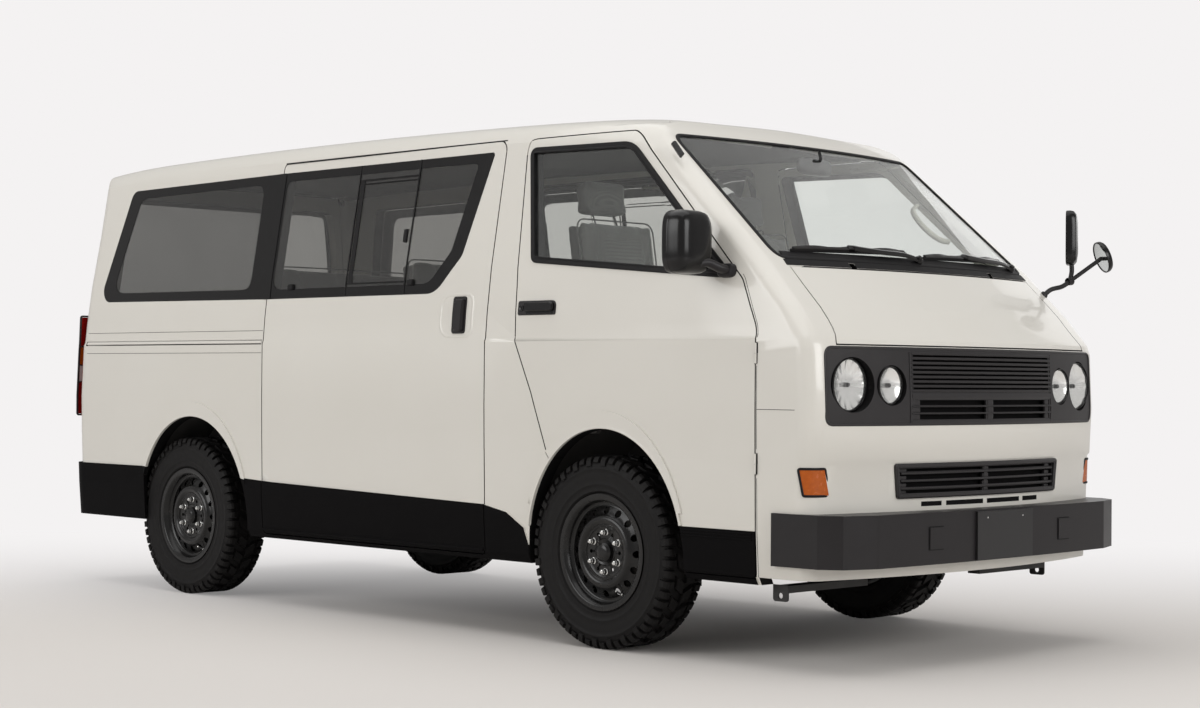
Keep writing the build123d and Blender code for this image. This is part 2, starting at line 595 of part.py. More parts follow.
stalk = tube_along(FENDER_STALK, FENDER_STALK_R)
base_point = FENDER_STALK[0]
f_head = Plane(origin=FENDER_HEAD, x_dir=(-0.5, 0.87, 0), z_dir=(-0.87, -0.5, 0))
fender_head = extrude(f_head.offset(-26) * RectangleRounded(130, 210, 16), amount=44)
r_head = Plane(origin=FENDER_ROUND, x_dir=(-0.8, 0.6, 0), z_dir=(-0.55, -0.75, -0.35))
round_head = extrude(r_head.offset(-14) * Circle(62), amount=28)
neck = rod(FENDER_STALK[-1], FENDER_HEAD, FENDER_STALK_R)
neck = neck + rod(FENDER_STALK[-1], FENDER_ROUND, FENDER_STALK_R)
base = Pos(*base_point) * Cylinder(14, 44)
fender_mirror = (stalk + fender_head + round_head + neck + base) - hull()
fender_mirror = fender_mirror.solids().sort_by(SortBy.VOLUME)[-1]

# ---------------------------------------------------------------- floor and cabin
seat_x0, seat_x1, seat_top = SEAT_BOX
rear_x0, rear_x1, rear_top, rear_y = REAR_BOX
floor = box(-3500, 1100, -900, 900, FLOOR_Z, FLOOR_Z + FLOOR_THICKNESS)
floor = floor + box(seat_x0, seat_x1, -900, 900, FLOOR_Z, seat_top)
floor = floor + both(box(rear_x0, rear_x1, -900, -rear_y, FLOOR_Z, rear_top))
floor = floor & cavity & (hull(WALL + DOOR_INNER_GAP) + box(-3600, SLIDING_DOOR[1], -900, 900, 0, 2000))
bay = box(seat_x0 + 20, seat_x1 - 20, -BAY_HALF, BAY_HALF, 0, seat_top - 20)
front_house = both(side_prism(arch_face(ARCH_FRONT, WHEELHOUSE_GAP), BAY_HALF + 20, 600))
rear_house = both(side_prism(arch_face(ARCH_REAR, 8) + arch_face(tyre_room), rear_y + 12, 600))
floor_pan = floor - bay - front_house - rear_house

dash_face = make_face(Polyline((1000, 860), (1000, 1080), (880, 1270), (700, 1296), (640, 1268),
                               (632, 1190), (700, 1060), (720, 860), close=True))
dash_bar = extrude(Plane.XZ.offset(-DASH_HALF) * dash_face, amount=2 * DASH_HALF)
dash_block = dash_bar & hull(front=NOSE_WALL + DASH_GAP)
dash_block = dash_block + (dash_bar & cavity & box(600, 1100, -900, 900, 800, BONNET[0][1] - 20))
tilt = radians(STEERING_TILT)
wheel_axis = Vector(-sin(tilt), 0, cos(tilt))
hub = Vector(*STEERING_CENTRE)
column_end = hub - wheel_axis * 60
column_start = hub - wheel_axis * 340
shroud = rod(column_start, column_end, 38)
shaft_bore = rod(column_end - wheel_axis * 90, hub, 14 + SPINDLE_CLEARANCE)
dashboard = (dash_block - arm_slots) + shroud - shaft_bore
wheel_plane = Plane(origin=hub, x_dir=(0, 1, 0), z_dir=wheel_axis)
rim_ring = wheel_plane * Torus(STEERING_R, 15)
hub_pad = wheel_plane * Pos(0, 0, -8) * Cylinder(62, 36)
spokes = wheel_plane * Box(2 * STEERING_R, 34, 14) + wheel_plane * Pos(0, -STEERING_R / 2, 0) * Box(
    34, STEERING_R, 14)
shaft = rod(column_end - wheel_axis * 60, hub, 14)
steering_wheel = rim_ring + hub_pad + spokes + shaft


def seat(x, y, z, width, back_height):
    """Simple one-piece seat: cushion, reclined back and head restraint."""
    side = make_face(Polyline((x - 480, z), (x, z), (x + 20, z + CUSHION - 20), (x - 10, z + CUSHION),
                              (x - 375, z + CUSHION - 12), (x - 470, z + back_height),
                              (x - 560, z + back_height), (x - 500, z + CUSHION), close=True))
    return extrude(Plane.XZ.offset(-y - width / 2) * side, amount=width)


base_z = seat_top + SEAT_GAP
front_pair = both(seat(130, -SEAT_Y, base_z, SEAT_WIDTH, 690))
heads = both(Pos(-425, -SEAT_Y, base_z + 764) * Box(90, 250, 150))
seats = front_pair + heads
bench_z = FLOOR_Z + FLOOR_THICKNESS + SEAT_GAP
for x in BENCH_X:
    low_y = -BENCH_WIDTH / 2
    riser = box(x - 430, x - 60, low_y + 60, -low_y - 60, bench_z, bench_z + 265)
    seats = seats + seat(x, 0, bench_z + 260, BENCH_WIDTH, 640) + riser

# ---------------------------------------------------------------- running gear
eng_x0, eng_x1, eng_w, eng_z0, eng_z1 = ENGINE
engine_block = box(eng_x0, eng_x1, -eng_w / 2, eng_w / 2, eng_z0, eng_z1)
rail_y = SUBFRAME_HALF_Y
inner_y = rail_y - RAIL_WIDTH
rail_low = FLOOR_Z - RAIL_HEIGHT
pad_x, pad_size, pad_drop = JACK_PAD
rail = box(-3380, 950, -rail_y, -inner_y, rail_low, FLOOR_Z) + box(
    pad_x - pad_size / 2, pad_x + pad_size / 2, -rail_y, -inner_y, rail_low - pad_drop, rail_low)
rails = both(rail)
frame_parts = list(rails.solids())
for x in CROSSMEMBERS:
    frame_parts.append(box(x - 30, x + 30, -inner_y, inner_y, FLOOR_Z - 80, FLOOR_Z - 6))
frame_parts.append(box(-60, 60, -rail_y, rail_y, 230, 285))
frame_parts += both(box(-60, 60, -rail_y, -inner_y, 285, rail_low)).solids()
hook_x, hook_y, hook_z, hook_r = TIE_DOWN
hook_face = Pos(hook_x, hook_z + 12) * RectangleRounded(64, 62, 10)
hook_hole = Pos(hook_x, hook_z) * Circle(hook_r)
hook = side_prism(hook_face - hook_hole, hook_y, 6) & box(0, 1200, -1000, 0, 200, BODY_BOTTOM_Z)
brace = box(hook_x - 20, hook_x + 32, -hook_y, -rail_y, BODY_BOTTOM_Z - 26, BODY_BOTTOM_Z - 2)
drop = box(hook_x - 20, hook_x + 32, -rail_y, -inner_y, BODY_BOTTOM_Z - 26, rail_low)
frame_parts += both(hook + brace).solids() + both(drop).solids()
underframe = Compound(frame_parts)
lower_arm = box(-40, 40, -KINGPIN_Y, -rail_y, ARM_LOW[0], ARM_LOW[1]) + Pos(
    0, -KINGPIN_Y, sum(ARM_LOW) / 2) * Cylinder(32, ARM_LOW[1] - ARM_LOW[0])
lower_arm = lower_arm + box(-40, 40, -rail_y, -inner_y, ARM_LOW[0], 230)
upper_arm = box(-32, 32, -KINGPIN_Y, -rail_y, ARM_HIGH[0], ARM_HIGH[1]) + Pos(
    0, -KINGPIN_Y, sum(ARM_HIGH) / 2) * Cylinder(32, ARM_HIGH[1] - ARM_HIGH[0])
pin_bore = Pos(0, -KINGPIN_Y, WHEEL_RADIUS) * Cylinder(PIN_R + SPINDLE_CLEARANCE, 400)
suspension_arms = both(Compound((lower_arm - pin_bore).solids() + (upper_arm - pin_bore).solids()))

low, high = ARM_LOW[1] + 5, ARM_HIGH[0] - 5
upright = Pos(0, -KINGPIN_Y, (low + high) / 2) * Cylinder(30, high - low)
pin = Pos(0, -KINGPIN_Y, (ARM_LOW[0] + ARM_HIGH[1]) / 2) * Cylinder(PIN_R, ARM_HIGH[1] - ARM_LOW[0])
spindle_end = HALF_TRACK_FRONT + HUB_BORE_END - 6
spindle = rod((0, -KINGPIN_Y, WHEEL_RADIUS), (0, -spindle_end, WHEEL_RADIUS), SPINDLE_R)
flange = rod((0, -KINGPIN_Y, WHEEL_RADIUS), (0, -HALF_TRACK_FRONT + HUB_FACE + 5, WHEEL_RADIUS), KNUCKLE_R)
caliper = box(60, 128, -HALF_TRACK_FRONT + HUB_FACE + 30, -KINGPIN_Y - 8, 290, 394)
caliper_bridge = box(0, 70, -KINGPIN_Y - 24, -KINGPIN_Y - 8, 320, 364)
knuckle = upright + pin + spindle + flange + caliper + caliper_bridge

axle_x = -WHEELBASE
axle_end = HALF_TRACK_REAR + AXLE_FLANGE
axle = rod((axle_x, -axle_end, WHEEL_RADIUS), (axle_x, axle_end, WHEEL_RADIUS), AXLE_TUBE_R)
diff = Pos(axle_x, 0, WHEEL_RADIUS) * Sphere(DIFF_R)
drums = both(rod((axle_x, -axle_end, WHEEL_RADIUS),
                 (axle_x, -HALF_TRACK_REAR + HUB_FACE + 5, WHEEL_RADIUS), DRUM_R))
ends = both(rod((axle_x, -axle_end, WHEEL_RADIUS),
                (axle_x, -HALF_TRACK_REAR - HUB_BORE_END + 6, WHEEL_RADIUS), SPINDLE_R))
spring_z = WHEEL_RADIUS + AXLE_TUBE_R
spring_line = ThreePointArc((axle_x - 600, 0, spring_z + 62), (axle_x, 0, spring_z + 8),
                            (axle_x + 600, 0, spring_z + 62))
leaf_plane = Plane(origin=spring_line @ 0, z_dir=spring_line % 0, x_dir=(0, 1, 0))
leaf = Pos(0, -SPRING_Y, 0) * sweep(leaf_plane * Rectangle(60, 22), path=spring_line)
shackles = box(axle_x - 625, axle_x - 570, -SPRING_Y - 30, -SPRING_Y + 30, spring_z + 44, FLOOR_Z)
shackles = shackles + box(axle_x + 570, axle_x + 625, -SPRING_Y - 30, -SPRING_Y + 30, spring_z + 44, FLOOR_Z)
rear_axle = axle + diff + drums + ends + both(leaf + shackles)

shaft_line = rod((eng_x0 - 410, 0, 368), (axle_x + DIFF_R - 10, 0, WHEEL_RADIUS + 8), 30)
gearbox = box(eng_x0 - 420, eng_x0, -110, 110, 330, 490 - 4)
pipe = tube_along(EXHAUST, EXHAUST_R)
muffler = rod(MUFFLER[0], MUFFLER[1], MUFFLER[2])
driveline = gearbox + (shaft_line - Pos(axle_x, 0, WHEEL_RADIUS) * Sphere(DIFF_R + 0.3)) + pipe + muffler
fuel_tank = fillet(box(*TANK).edges(), 24)

# ---------------------------------------------------------------- wheels


def wheel_rim():
    """Steel wheel about Z, outer face towards +Z."""
    half = RIM_WIDTH / 2
    bead = BEAD_RADIUS
    low = bead - 15
    outer = [(RIM_FLANGE_R, half), (RIM_FLANGE_R, half - 5), (bead, half - 7), (bead, 60), (low, 48),
             (low, -10), (bead, -28), (bead, 7 - half), (RIM_FLANGE_R, 5 - half), (RIM_FLANGE_R, -half)]
    inner = [(RIM_FLANGE_R - 7, -half), (bead - RIM_WALL, -half + 2), (bead - RIM_WALL, -30),
             (low - RIM_WALL, -12), (low - RIM_WALL, 46), (bead - RIM_WALL, 58),
             (bead - RIM_WALL, half - 2), (RIM_FLANGE_R - 7, half)]
    barrel = revolve(Plane.XZ * make_face(Polyline(*outer, *inner, close=True)), Axis.Z)
    face_z = DISC_OFFSET + DISC_THICKNESS
    line = [(0, face_z), (94, face_z), (106, face_z + 13), (124, face_z + 13), (136, face_z),
            (162, face_z - 12), (low - 1, face_z - 18)]
    under = [(r, z - DISC_THICKNESS) for r, z in reversed(line)]
    disc = revolve(Plane.XZ * make_face(Polyline(*line, *under, close=True)), Axis.Z)
    vents = PolarLocations(VENT_CIRCLE_R, VENT_COUNT) * Cylinder(VENT_R, 200)
    studs = PolarLocations(NUT_CIRCLE_R, 6) * Cylinder(STUD_HOLE_R, 300)
    disc = disc - vents
    boss_low = -HUB_FACE
    boss = Pos(0, 0, (boss_low + DISC_OFFSET) / 2) * Cylinder(HUB_R, DISC_OFFSET - boss_low)
    cap = Pos(0, 0, face_z + 9) * Cylinder(HUB_CAP_R, 18)
    bore_length = HUB_BORE_END - boss_low
    bore = Pos(0, 0, boss_low + bore_length / 2) * Cylinder(SPINDLE_R + SPINDLE_CLEARANCE, bore_length)
    return barrel + (disc - studs) + boss + cap - bore


def wheel_tyre():
    """Hollow tyre about Z."""
    seat_z = RIM_WIDTH / 2 - 7
    wide = TYRE_WIDTH / 2
    r = WHEEL_RADIUS
    side = [(RIM_FLANGE_R + 2, seat_z), (BEAD_RADIUS + 42, wide - 5), (BEAD_RADIUS + 76, wide),
            (r - 42, wide - 3), (r - 16, wide - 10), (r - 4, wide - 24), (r, wide - 42)]
    wall = Spline(*side)
    flat = Polyline((BEAD_RADIUS, seat_z - 20), (BEAD_RADIUS, seat_z), side[0])
    t = TYRE_WALL
    inside = [(r - t - 6, wide - 46), (r - t - 24, wide - t - 10), (BEAD_RADIUS + 76, wide - t),
              (BEAD_RADIUS + 36, wide - t - 8), (BEAD_RADIUS, seat_z - 20)]
    lower = Polyline(*inside)
    top = Polyline(side[-1], (r, 0), (r - t - 6, 0), inside[0])
    half = revolve(Plane.XZ * make_face(wall + flat + lower + top), Axis.Z)
    return half + mirror(half, about=Plane.XY)


rim = Rot(90, 0, 0) * wheel_rim()
tyre = Rot(90, 0, 0) * wheel_tyre()
front_hub = Pos(0, -HALF_TRACK_FRONT, WHEEL_RADIUS)
rear_hub = Pos(axle_x, -HALF_TRACK_REAR, WHEEL_RADIUS)

# ---------------------------------------------------------------- nodes
paired = {
    "front_door": front_door,
    "front_glass": front_glass,
    "knuckle": knuckle,
    "rim_front": front_hub * rim,
    "rim_rear": rear_hub * rim,
    "tyre_front": front_hub * tyre,
    "tyre_rear": rear_hub * tyre,
}
single = {
    "side_frames": side_frames,
    "roof_panel": roof_panel,
    "floor_pan": floor_pan,
    "nose_panel": nose_panel,
    "bonnet": bonnet,
    "headlamp_panel": headlamp_panel,
    "headlamps": headlamps,
    "marker_lamps": marker_lamps,
    "lower_grille": lower_grille,
    "front_bumper": front_bumper,
    "number_plate": number_plate,
    "windscreen": windscreen,
    "wipers": wipers,
    "fender_mirror": fender_mirror,
    "door_mirror_right": door_mirror,
    "mirror_blank_left": mirror_blank,
    "sliding_doors": both(sliding_door),
    "side_glass": side_glass,
    "tailgate": tailgate,
    "tailgate_glass": tailgate_glass,
    "tail_lamps": tail_lamps,
    "rear_bumper": rear_bumper,
    "dashboard": dashboard,
    "steering_wheel": steering_wheel,
    "seats": seats,
    "engine_block": engine_block,
    "underframe": underframe,
    "suspension_arms": suspension_arms,
    "rear_axle": rear_axle,
    "driveline": driveline,
    "fuel_tank": fuel_tank,
}
middle_x = (number_plate.bounding_box().max.X + rear_bumper.bounding_box().min.X) / 2
for name, shape in paired.items():
    export(name + "_right", shape)
    export(name + "_left", left_of(shape))
for name, shape in single.items():
    export(name, shape)
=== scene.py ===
import json
import logging
import math
from dataclasses import dataclass
from enum import Enum
from typing import Callable, Sequence

import bmesh
import bpy
from mathutils import Matrix, Vector

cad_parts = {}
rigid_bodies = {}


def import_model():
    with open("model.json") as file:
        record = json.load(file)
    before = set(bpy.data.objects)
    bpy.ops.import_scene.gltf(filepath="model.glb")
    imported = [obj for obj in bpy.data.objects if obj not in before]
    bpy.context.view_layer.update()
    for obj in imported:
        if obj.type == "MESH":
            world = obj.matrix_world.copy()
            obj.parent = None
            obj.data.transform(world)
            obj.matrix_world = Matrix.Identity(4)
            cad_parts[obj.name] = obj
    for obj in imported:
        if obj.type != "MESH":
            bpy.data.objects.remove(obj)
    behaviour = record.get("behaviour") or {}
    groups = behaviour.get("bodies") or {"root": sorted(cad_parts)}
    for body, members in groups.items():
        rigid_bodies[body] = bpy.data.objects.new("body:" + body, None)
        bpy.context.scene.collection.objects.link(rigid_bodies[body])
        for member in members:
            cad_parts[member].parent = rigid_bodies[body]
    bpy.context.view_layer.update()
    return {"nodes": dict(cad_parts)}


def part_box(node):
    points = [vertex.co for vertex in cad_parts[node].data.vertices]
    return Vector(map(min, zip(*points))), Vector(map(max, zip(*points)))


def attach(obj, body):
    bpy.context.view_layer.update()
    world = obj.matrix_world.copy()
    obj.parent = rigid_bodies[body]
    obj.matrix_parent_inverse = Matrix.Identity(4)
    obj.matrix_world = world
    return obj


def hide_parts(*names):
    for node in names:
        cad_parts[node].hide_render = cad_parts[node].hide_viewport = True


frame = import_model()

# Looks of a one-box passenger van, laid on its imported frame. Sizes are in millimetres, with X measured
# forward from the front axle, Y to the left and Z up from the ground. at() turns them into frame metres.

log = logging.getLogger("van")
MM = 0.001
Point = tuple[float, float]
Triple = tuple[float, float, float]
Rgba = tuple[float, float, float, float]
Tree = bpy.types.NodeTree
Socket = bpy.types.NodeSocket
UP = Vector((0, 0, 1))
AHEAD = Vector((1, 0, 0))
BACK = Vector((-1, 0, 0))


def middle(node: str) -> Vector:
    """Middle of a CAD node's box, in metres."""
    low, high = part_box(node)
    return (low + high) / 2


AXLE_X = middle("rim_front_right").x


def at(x: float, y: float, z: float) -> Vector:
    """Frame position in metres of a point given in millimetres from the front axle."""
    return Vector((AXLE_X + x * MM, y * MM, z * MM))


def shift(x: float, y: float, z: float) -> Matrix:
    """Move along the local axes, in millimetres."""
    return Matrix.Translation(Vector((x, y, z)) * MM)


def run(start: Point, end: Point, steps: int) -> list[Point]:
    """Evenly spaced points from a start to an end, both included."""
    (a, b), (c, d) = start, end
    return [(a + (c - a) * k / steps, b + (d - b) * k / steps) for k in range(steps + 1)]


def linear(code: str) -> Rgba:
    """Linear colour of an sRGB hex value.

    Args:
        code: six hex digits, such as "D8D3C9".

    Returns:
        Red, green, blue and an alpha of one.
    """
    values = [int(code[k:k + 2], 16) / 255 for k in (0, 2, 4)]
    red, green, blue = [v / 12.92 if v <= 0.04045 else ((v + 0.055) / 1.055) ** 2.4 for v in values]
    return red, green, blue, 1.0


def tune(node: bpy.types.Node, settings: dict | None = None, links: dict | None = None) -> bpy.types.Node:
    """Set a shader node's values and link its inputs.

    Args:
        node: the node.
        settings: values by property name, input name or input number.
        links: source sockets by input name or number.

    Returns:
        The same node.
    """
    for key, value in (settings or {}).items():
        if isinstance(key, int) or key in node.inputs:
            node.inputs[key].default_value = value
        else:
            setattr(node, key, value)
    for key, source in (links or {}).items():
        node.id_data.links.new(source, node.inputs[key])
    return node


def add_node(tree: Tree, kind: str, settings: dict | None = None,
             links: dict | None = None) -> bpy.types.Node:
    """Add one shader node of a kind, with tune's settings and links."""
    return tune(tree.nodes.new(kind), settings, links)


class Body(Enum):
    """Bodies that pieces ride on."""

    SHELL = "body_shell"
    BONNET = "bonnet"
    TAILGATE = "tailgate"
    STEERING = "steering_wheel"
    DOOR_RIGHT = "door_right"
    DOOR_LEFT = "door_left"
    WHEEL_FR = "wheel_front_right"
    WHEEL_FL = "wheel_front_left"
    WHEEL_RR = "wheel_rear_right"
    WHEEL_RL = "wheel_rear_left"


class Slot(Enum):
    """Material slots of the record."""

    PAINT = "paint"
    BLACK_PLASTIC = "black_plastic"
    BLACK_TRIM = "black_trim"
    GLASS_CLEAR = "glass_clear"
    GLASS_TINT = "glass_tint"
    LENS = "lens"
    AMBER = "amber"
    RED_LENS = "red_lens"
    STEEL_BLACK = "steel_black"
    TYRE = "tyre"
    CAST = "cast"
    CHASSIS = "chassis"
    FABRIC = "fabric"
    DASH = "dash"
    PLATE = "plate"


SIDES = ((-1, "right", Body.DOOR_RIGHT), (1, "left", Body.DOOR_LEFT))


# ---------------------------------------------------------------- finishes


# A wave texture with this scale over a length in metres repeats once in that length.
WAVE = 0.314


def local(tree: Tree) -> Socket:
    """Coordinates fixed to the piece."""
    return add_node(tree, "ShaderNodeTexCoord").outputs["Object"]


def tinted(tree: Tree, low: str, high: str, share: Socket) -> Socket:
    """Colour between two hex values, by a share."""
    mix = add_node(tree, "ShaderNodeMix", {"data_type": "RGBA", 6: linear(low), 7: linear(high)}, {0: share})
    return mix.outputs[2]


def ranged(tree: Tree, low: float, high: float, share: Socket) -> Socket:
    """Number between two values, by a share."""
    made = add_node(tree, "ShaderNodeMapRange", {"To Min": low, "To Max": high}, {"Value": share})
    return made.outputs["Result"]


def relief(tree: Tree, strength: float, depth_mm: float, height: Socket) -> Socket:
    """Surface direction over a height pattern that is so many millimetres deep."""
    settings = {"Strength": strength, "Distance": depth_mm * MM}
    made = add_node(tree, "ShaderNodeBump", settings, {"Height": height})
    return made.outputs["Normal"]


def cover(tree: Tree, output: str, *sources: Socket) -> None:
    """Send a blend of two shaders to an output node: its share, the first and the second."""
    blend = add_node(tree, "ShaderNodeMixShader", None, dict(enumerate(sources)))
    tune(tree.nodes[output], None, {"Surface": blend.outputs["Shader"]})


def grain(tree: Tree, size_mm: float, detail: float = 4.0) -> Socket:
    """Noise pattern fixed to the piece.

    Args:
        tree: node tree that gets the pattern.
        size_mm: size of one grain on the real surface.
        detail: number of finer octaves.

    Returns:
        The pattern's value socket.
    """
    pattern = add_node(tree, "ShaderNodeTexNoise", {"Scale": 1 / (size_mm * MM), "Detail": detail},
                       {"Vector": local(tree)})
    return pattern.outputs["Fac"]


@dataclass(frozen=True)
class Finish:
    """A real surface finish: a dielectric or metal body colour with a fine grain."""

    name: str
    slot: Slot
    colour: str
    shade: str
    roughness: float
    roughness_spread: float = 0.08
    metallic: float = 0.0
    ior: float = 1.5
    coat: float = 0.0
    coat_roughness: float = 0.05
    specular: float = 0.5
    mottle_mm: float = 60.0
    grain_mm: float = 2.0
    grain_depth_mm: float = 0.02

    def material(self) -> bpy.types.Material:
        """Node material of this finish, made once."""
        found = bpy.data.materials.get(self.name)
        if found is not None:
            return found
        made = bpy.data.materials.new(self.name)
        made.use_nodes = True
        made.diffuse_color = linear(self.colour)
        surface = made.node_tree.nodes["Principled BSDF"]
        tune(surface, {"Metallic": self.metallic, "Specular IOR Level": self.specular,
                       "Coat Weight": self.coat, "Coat Roughness": self.coat_roughness})
        if self.metallic < 0.5:
            tune(surface, {"IOR": self.ior})
        self.dress(made.node_tree, surface)
        return made

    def dress(self, tree: Tree, surface: bpy.types.Node) -> None:
        """Link colour, roughness and relief patterns to the surface shader."""
        mottle, fine = grain(tree, self.mottle_mm), grain(tree, self.grain_mm, 2.0)
        low, high = self.roughness - self.roughness_spread, self.roughness + self.roughness_spread
        tune(surface, None, {"Base Color": tinted(tree, self.shade, self.colour, mottle),
                             "Roughness": ranged(tree, low, high, mottle),
                             "Normal": relief(tree, 0.6, self.grain_depth_mm, fine)})


@dataclass(frozen=True)
class SheetGlass(Finish):
    """Float glass: smooth, see-through, tinted in the body, with lamps shining through it as light does."""

    transmission: float = 1.0

    def dress(self, tree: Tree, surface: bpy.types.Node) -> None:
        """Set the transmitting glass, and let lamplight pass straight through it."""
        shade = tinted(tree, self.shade, self.colour, grain(tree, self.mottle_mm, 1.0))
        tune(surface, {"Transmission Weight": self.transmission, "Roughness": self.roughness},
             {"Base Color": shade})
        clear = add_node(tree, "ShaderNodeBsdfTransparent", {"Color": linear(self.colour)})
        path = add_node(tree, "ShaderNodeLightPath")
        cover(tree, "Material Output", path.outputs["Is Shadow Ray"], surface.outputs["BSDF"],
              clear.outputs["BSDF"])


@dataclass(frozen=True)
class ThinLens(Finish):
    """Thin pressed lens, mostly clear, with the faint white of its prisms and a polished face."""

    veil: float = 0.2
    flute_mm: float = 0.0
    flute_depth_mm: float = 0.8

    def dress(self, tree: Tree, surface: bpy.types.Node) -> None:
        """Add the veil, and upright flutes where there are any."""
        Finish.dress(self, tree, surface)
        tune(surface, {"Alpha": self.veil})
        if self.flute_mm:
            flutes = add_node(tree, "ShaderNodeTexWave",
                              {"wave_type": "BANDS", "bands_direction": "Y", "Distortion": 0.0,
                               "Scale": WAVE / (self.flute_mm * MM)}, {"Vector": local(tree)}).outputs["Fac"]
            tune(surface, None, {"Normal": relief(tree, 1.0, self.flute_depth_mm, flutes),
                                 "Alpha": ranged(tree, self.veil * 0.5, self.veil * 1.6, flutes)})


@dataclass(frozen=True)
class WovenCloth(Finish):
    """Flat-woven polyester seat cloth: crossed yarns, drawn at four times their real spacing to show."""

    yarn_mm: float = 2.4

    def dress(self, tree: Tree, surface: bpy.types.Node) -> None:
        """Cross two sets of yarns in colour and relief."""
        place, sets = local(tree), []
        for direction in ("X", "DIAGONAL"):
            settings = {"bands_direction": direction, "Distortion": 1.2, "Scale": WAVE / (self.yarn_mm * MM)}
            sets.append(add_node(tree, "ShaderNodeTexWave", settings, {"Vector": place}).outputs["Fac"])
        product = add_node(tree, "ShaderNodeMath", {"operation": "MULTIPLY"}, dict(enumerate(sets)))
        weave = product.outputs["Value"]
        tune(surface, {"Roughness": self.roughness, "Sheen Weight": 0.25, "Sheen Roughness": 0.5},
             {"Base Color": tinted(tree, self.shade, self.colour, weave),
              "Normal": relief(tree, 0.7, 0.6, weave)})


class Finishes:
    """Every finish on the van."""

    # Two-pack enamel, sprayed and baked: ivory, deep gloss, very faint orange peel.
    ENAMEL = Finish("sprayed_ivory_enamel", Slot.PAINT, "D3D0C9", "D0CDC5", 0.32, 0.03, coat=0.5,
                    coat_roughness=0.06, mottle_mm=400, grain_mm=5, grain_depth_mm=0.012)
    # Polypropylene moulded in a grained tool: near-black, soft sheen with a fine pebble.
    MOULDED = Finish("moulded_black_polypropylene", Slot.BLACK_PLASTIC, "282627", "222021", 0.36, 0.06,
                     specular=0.22, mottle_mm=90, grain_mm=1.6, grain_depth_mm=0.05)
    # Black chip-resistant coating on the sills and lower panels: deep and nearly matt.
    CHIP_COAT = Finish("black_chip_coating", Slot.BLACK_PLASTIC, "080708", "060506", 0.6, 0.06, specular=0.06,
                       mottle_mm=90, grain_mm=2.2, grain_depth_mm=0.06)
    # ABS moulded in a polished tool: black, tight highlights.
    GLOSS_BLACK = Finish("polished_black_abs", Slot.BLACK_TRIM, "0C0B0C", "090809", 0.2, 0.05,
                         specular=0.35, mottle_mm=40, grain_mm=3, grain_depth_mm=0.01)
    # ABS spark-eroded to a satin: the lamp panel and grille, dark grey with a broad sheen.
    SATIN = Finish("satin_black_abs", Slot.BLACK_TRIM, "2A2829", "242223", 0.4, 0.05, specular=0.35,
                   mottle_mm=70, grain_mm=1.2, grain_depth_mm=0.03)
    # Extruded EPDM rubber: seals and window frames, black and nearly matt. The same black is painted shade on
    # gap walls, on seam lines and on the bumper's gap lines.
    SEAL_AND_GAP_SHADE = Finish("epdm_rubber_and_gap_shade", Slot.BLACK_TRIM, "121112", "0E0D0E", 0.55, 0.08, specular=0.22,
                  mottle_mm=30, grain_mm=1.5, grain_depth_mm=0.03)
    # Unpainted inside of wheel arches, coated with rubberised underseal. The same near-black stands as
    # painted shade in gaps: the slots for the bonnet's arms, the arms, the recesses of the lamp panel and
    # grille, and the valance's slots.
    UNDERSEAL_AND_SHADE = Finish("underseal_and_painted_shade", Slot.BLACK_TRIM, "0C0B0C", "080708", 0.8, 0.1, specular=0.15,
                       mottle_mm=50, grain_mm=4, grain_depth_mm=0.4)
    # Vulcanised tyre rubber: charcoal, faintly mottled.
    TYRE = Finish("vulcanised_tyre_rubber", Slot.TYRE, "110F0F", "0D0C0C", 0.6, 0.1, specular=0.2,
                  mottle_mm=25, grain_mm=1.5, grain_depth_mm=0.06)
    # Pressed steel, powder-coated black: satin with a slight peel.
    WHEEL_STEEL = Finish("powder_coated_steel", Slot.STEEL_BLACK, "0C0B0B", "090808", 0.26, 0.06, coat=0.12,
                         coat_roughness=0.15, specular=0.35, mottle_mm=60, grain_mm=2.5, grain_depth_mm=0.03)
    # Steel with bright chrome plate: wheel nuts, plate screws and restraint posts.
    CHROME = Finish("chrome_plate", Slot.STEEL_BLACK, "E8E8E6", "DADAD8", 0.08, 0.03, metallic=1.0,
                    mottle_mm=20, grain_mm=3, grain_depth_mm=0.005)
    # Aluminised lamp bowl behind the glass.
    BOWL = Finish("vapour_aluminised_bowl", Slot.LENS, "F4F4F2", "E4E4E2", 0.16, 0.04, metallic=0.75,
                  mottle_mm=30, grain_mm=14, grain_depth_mm=0.3)
    # Mirror glass, silvered on its back.
    SILVER = Finish("silvered_mirror_glass", Slot.GLASS_CLEAR, "DFE3E2", "D8DCDB", 0.03, 0.01, metallic=1.0,
                    mottle_mm=200, grain_mm=30, grain_depth_mm=0.005)
    # Laminated float glass with a faint green cast.
    CLEAR = SheetGlass("laminated_clear_glass", Slot.GLASS_CLEAR, "F9FCFA", "F8FBF9", 0.0,
                       mottle_mm=400, grain_depth_mm=0.02)
    # Front side glass: tempered, faintly green.
    DOOR_GLASS = SheetGlass("tempered_door_glass", Slot.GLASS_TINT, "F0F3F0", "EEF1EE", 0.0, mottle_mm=400,
                            grain_depth_mm=0.02)
    # Privacy glass: dark grey in the body.
    PRIVACY = SheetGlass("privacy_glass", Slot.GLASS_TINT, "C4C4C1", "C1C1BE", 0.0, mottle_mm=400,
                         grain_depth_mm=0.02)
    # Quarter windows: the same glass with a second film, darker still.
    DEEP_TINT = SheetGlass("filmed_quarter_glass", Slot.GLASS_TINT, "A0A09E", "9D9D9B", 0.0, mottle_mm=400,
                           grain_depth_mm=0.02)
    # Pressed glass of the inner lamps, smooth on its face.
    LAMP_GLASS = ThinLens("pressed_lamp_glass", Slot.LENS, "F4F6F5", "ECEEED", 0.05, 0.01, mottle_mm=40,
                          grain_mm=20, grain_depth_mm=0.05, veil=0.06)
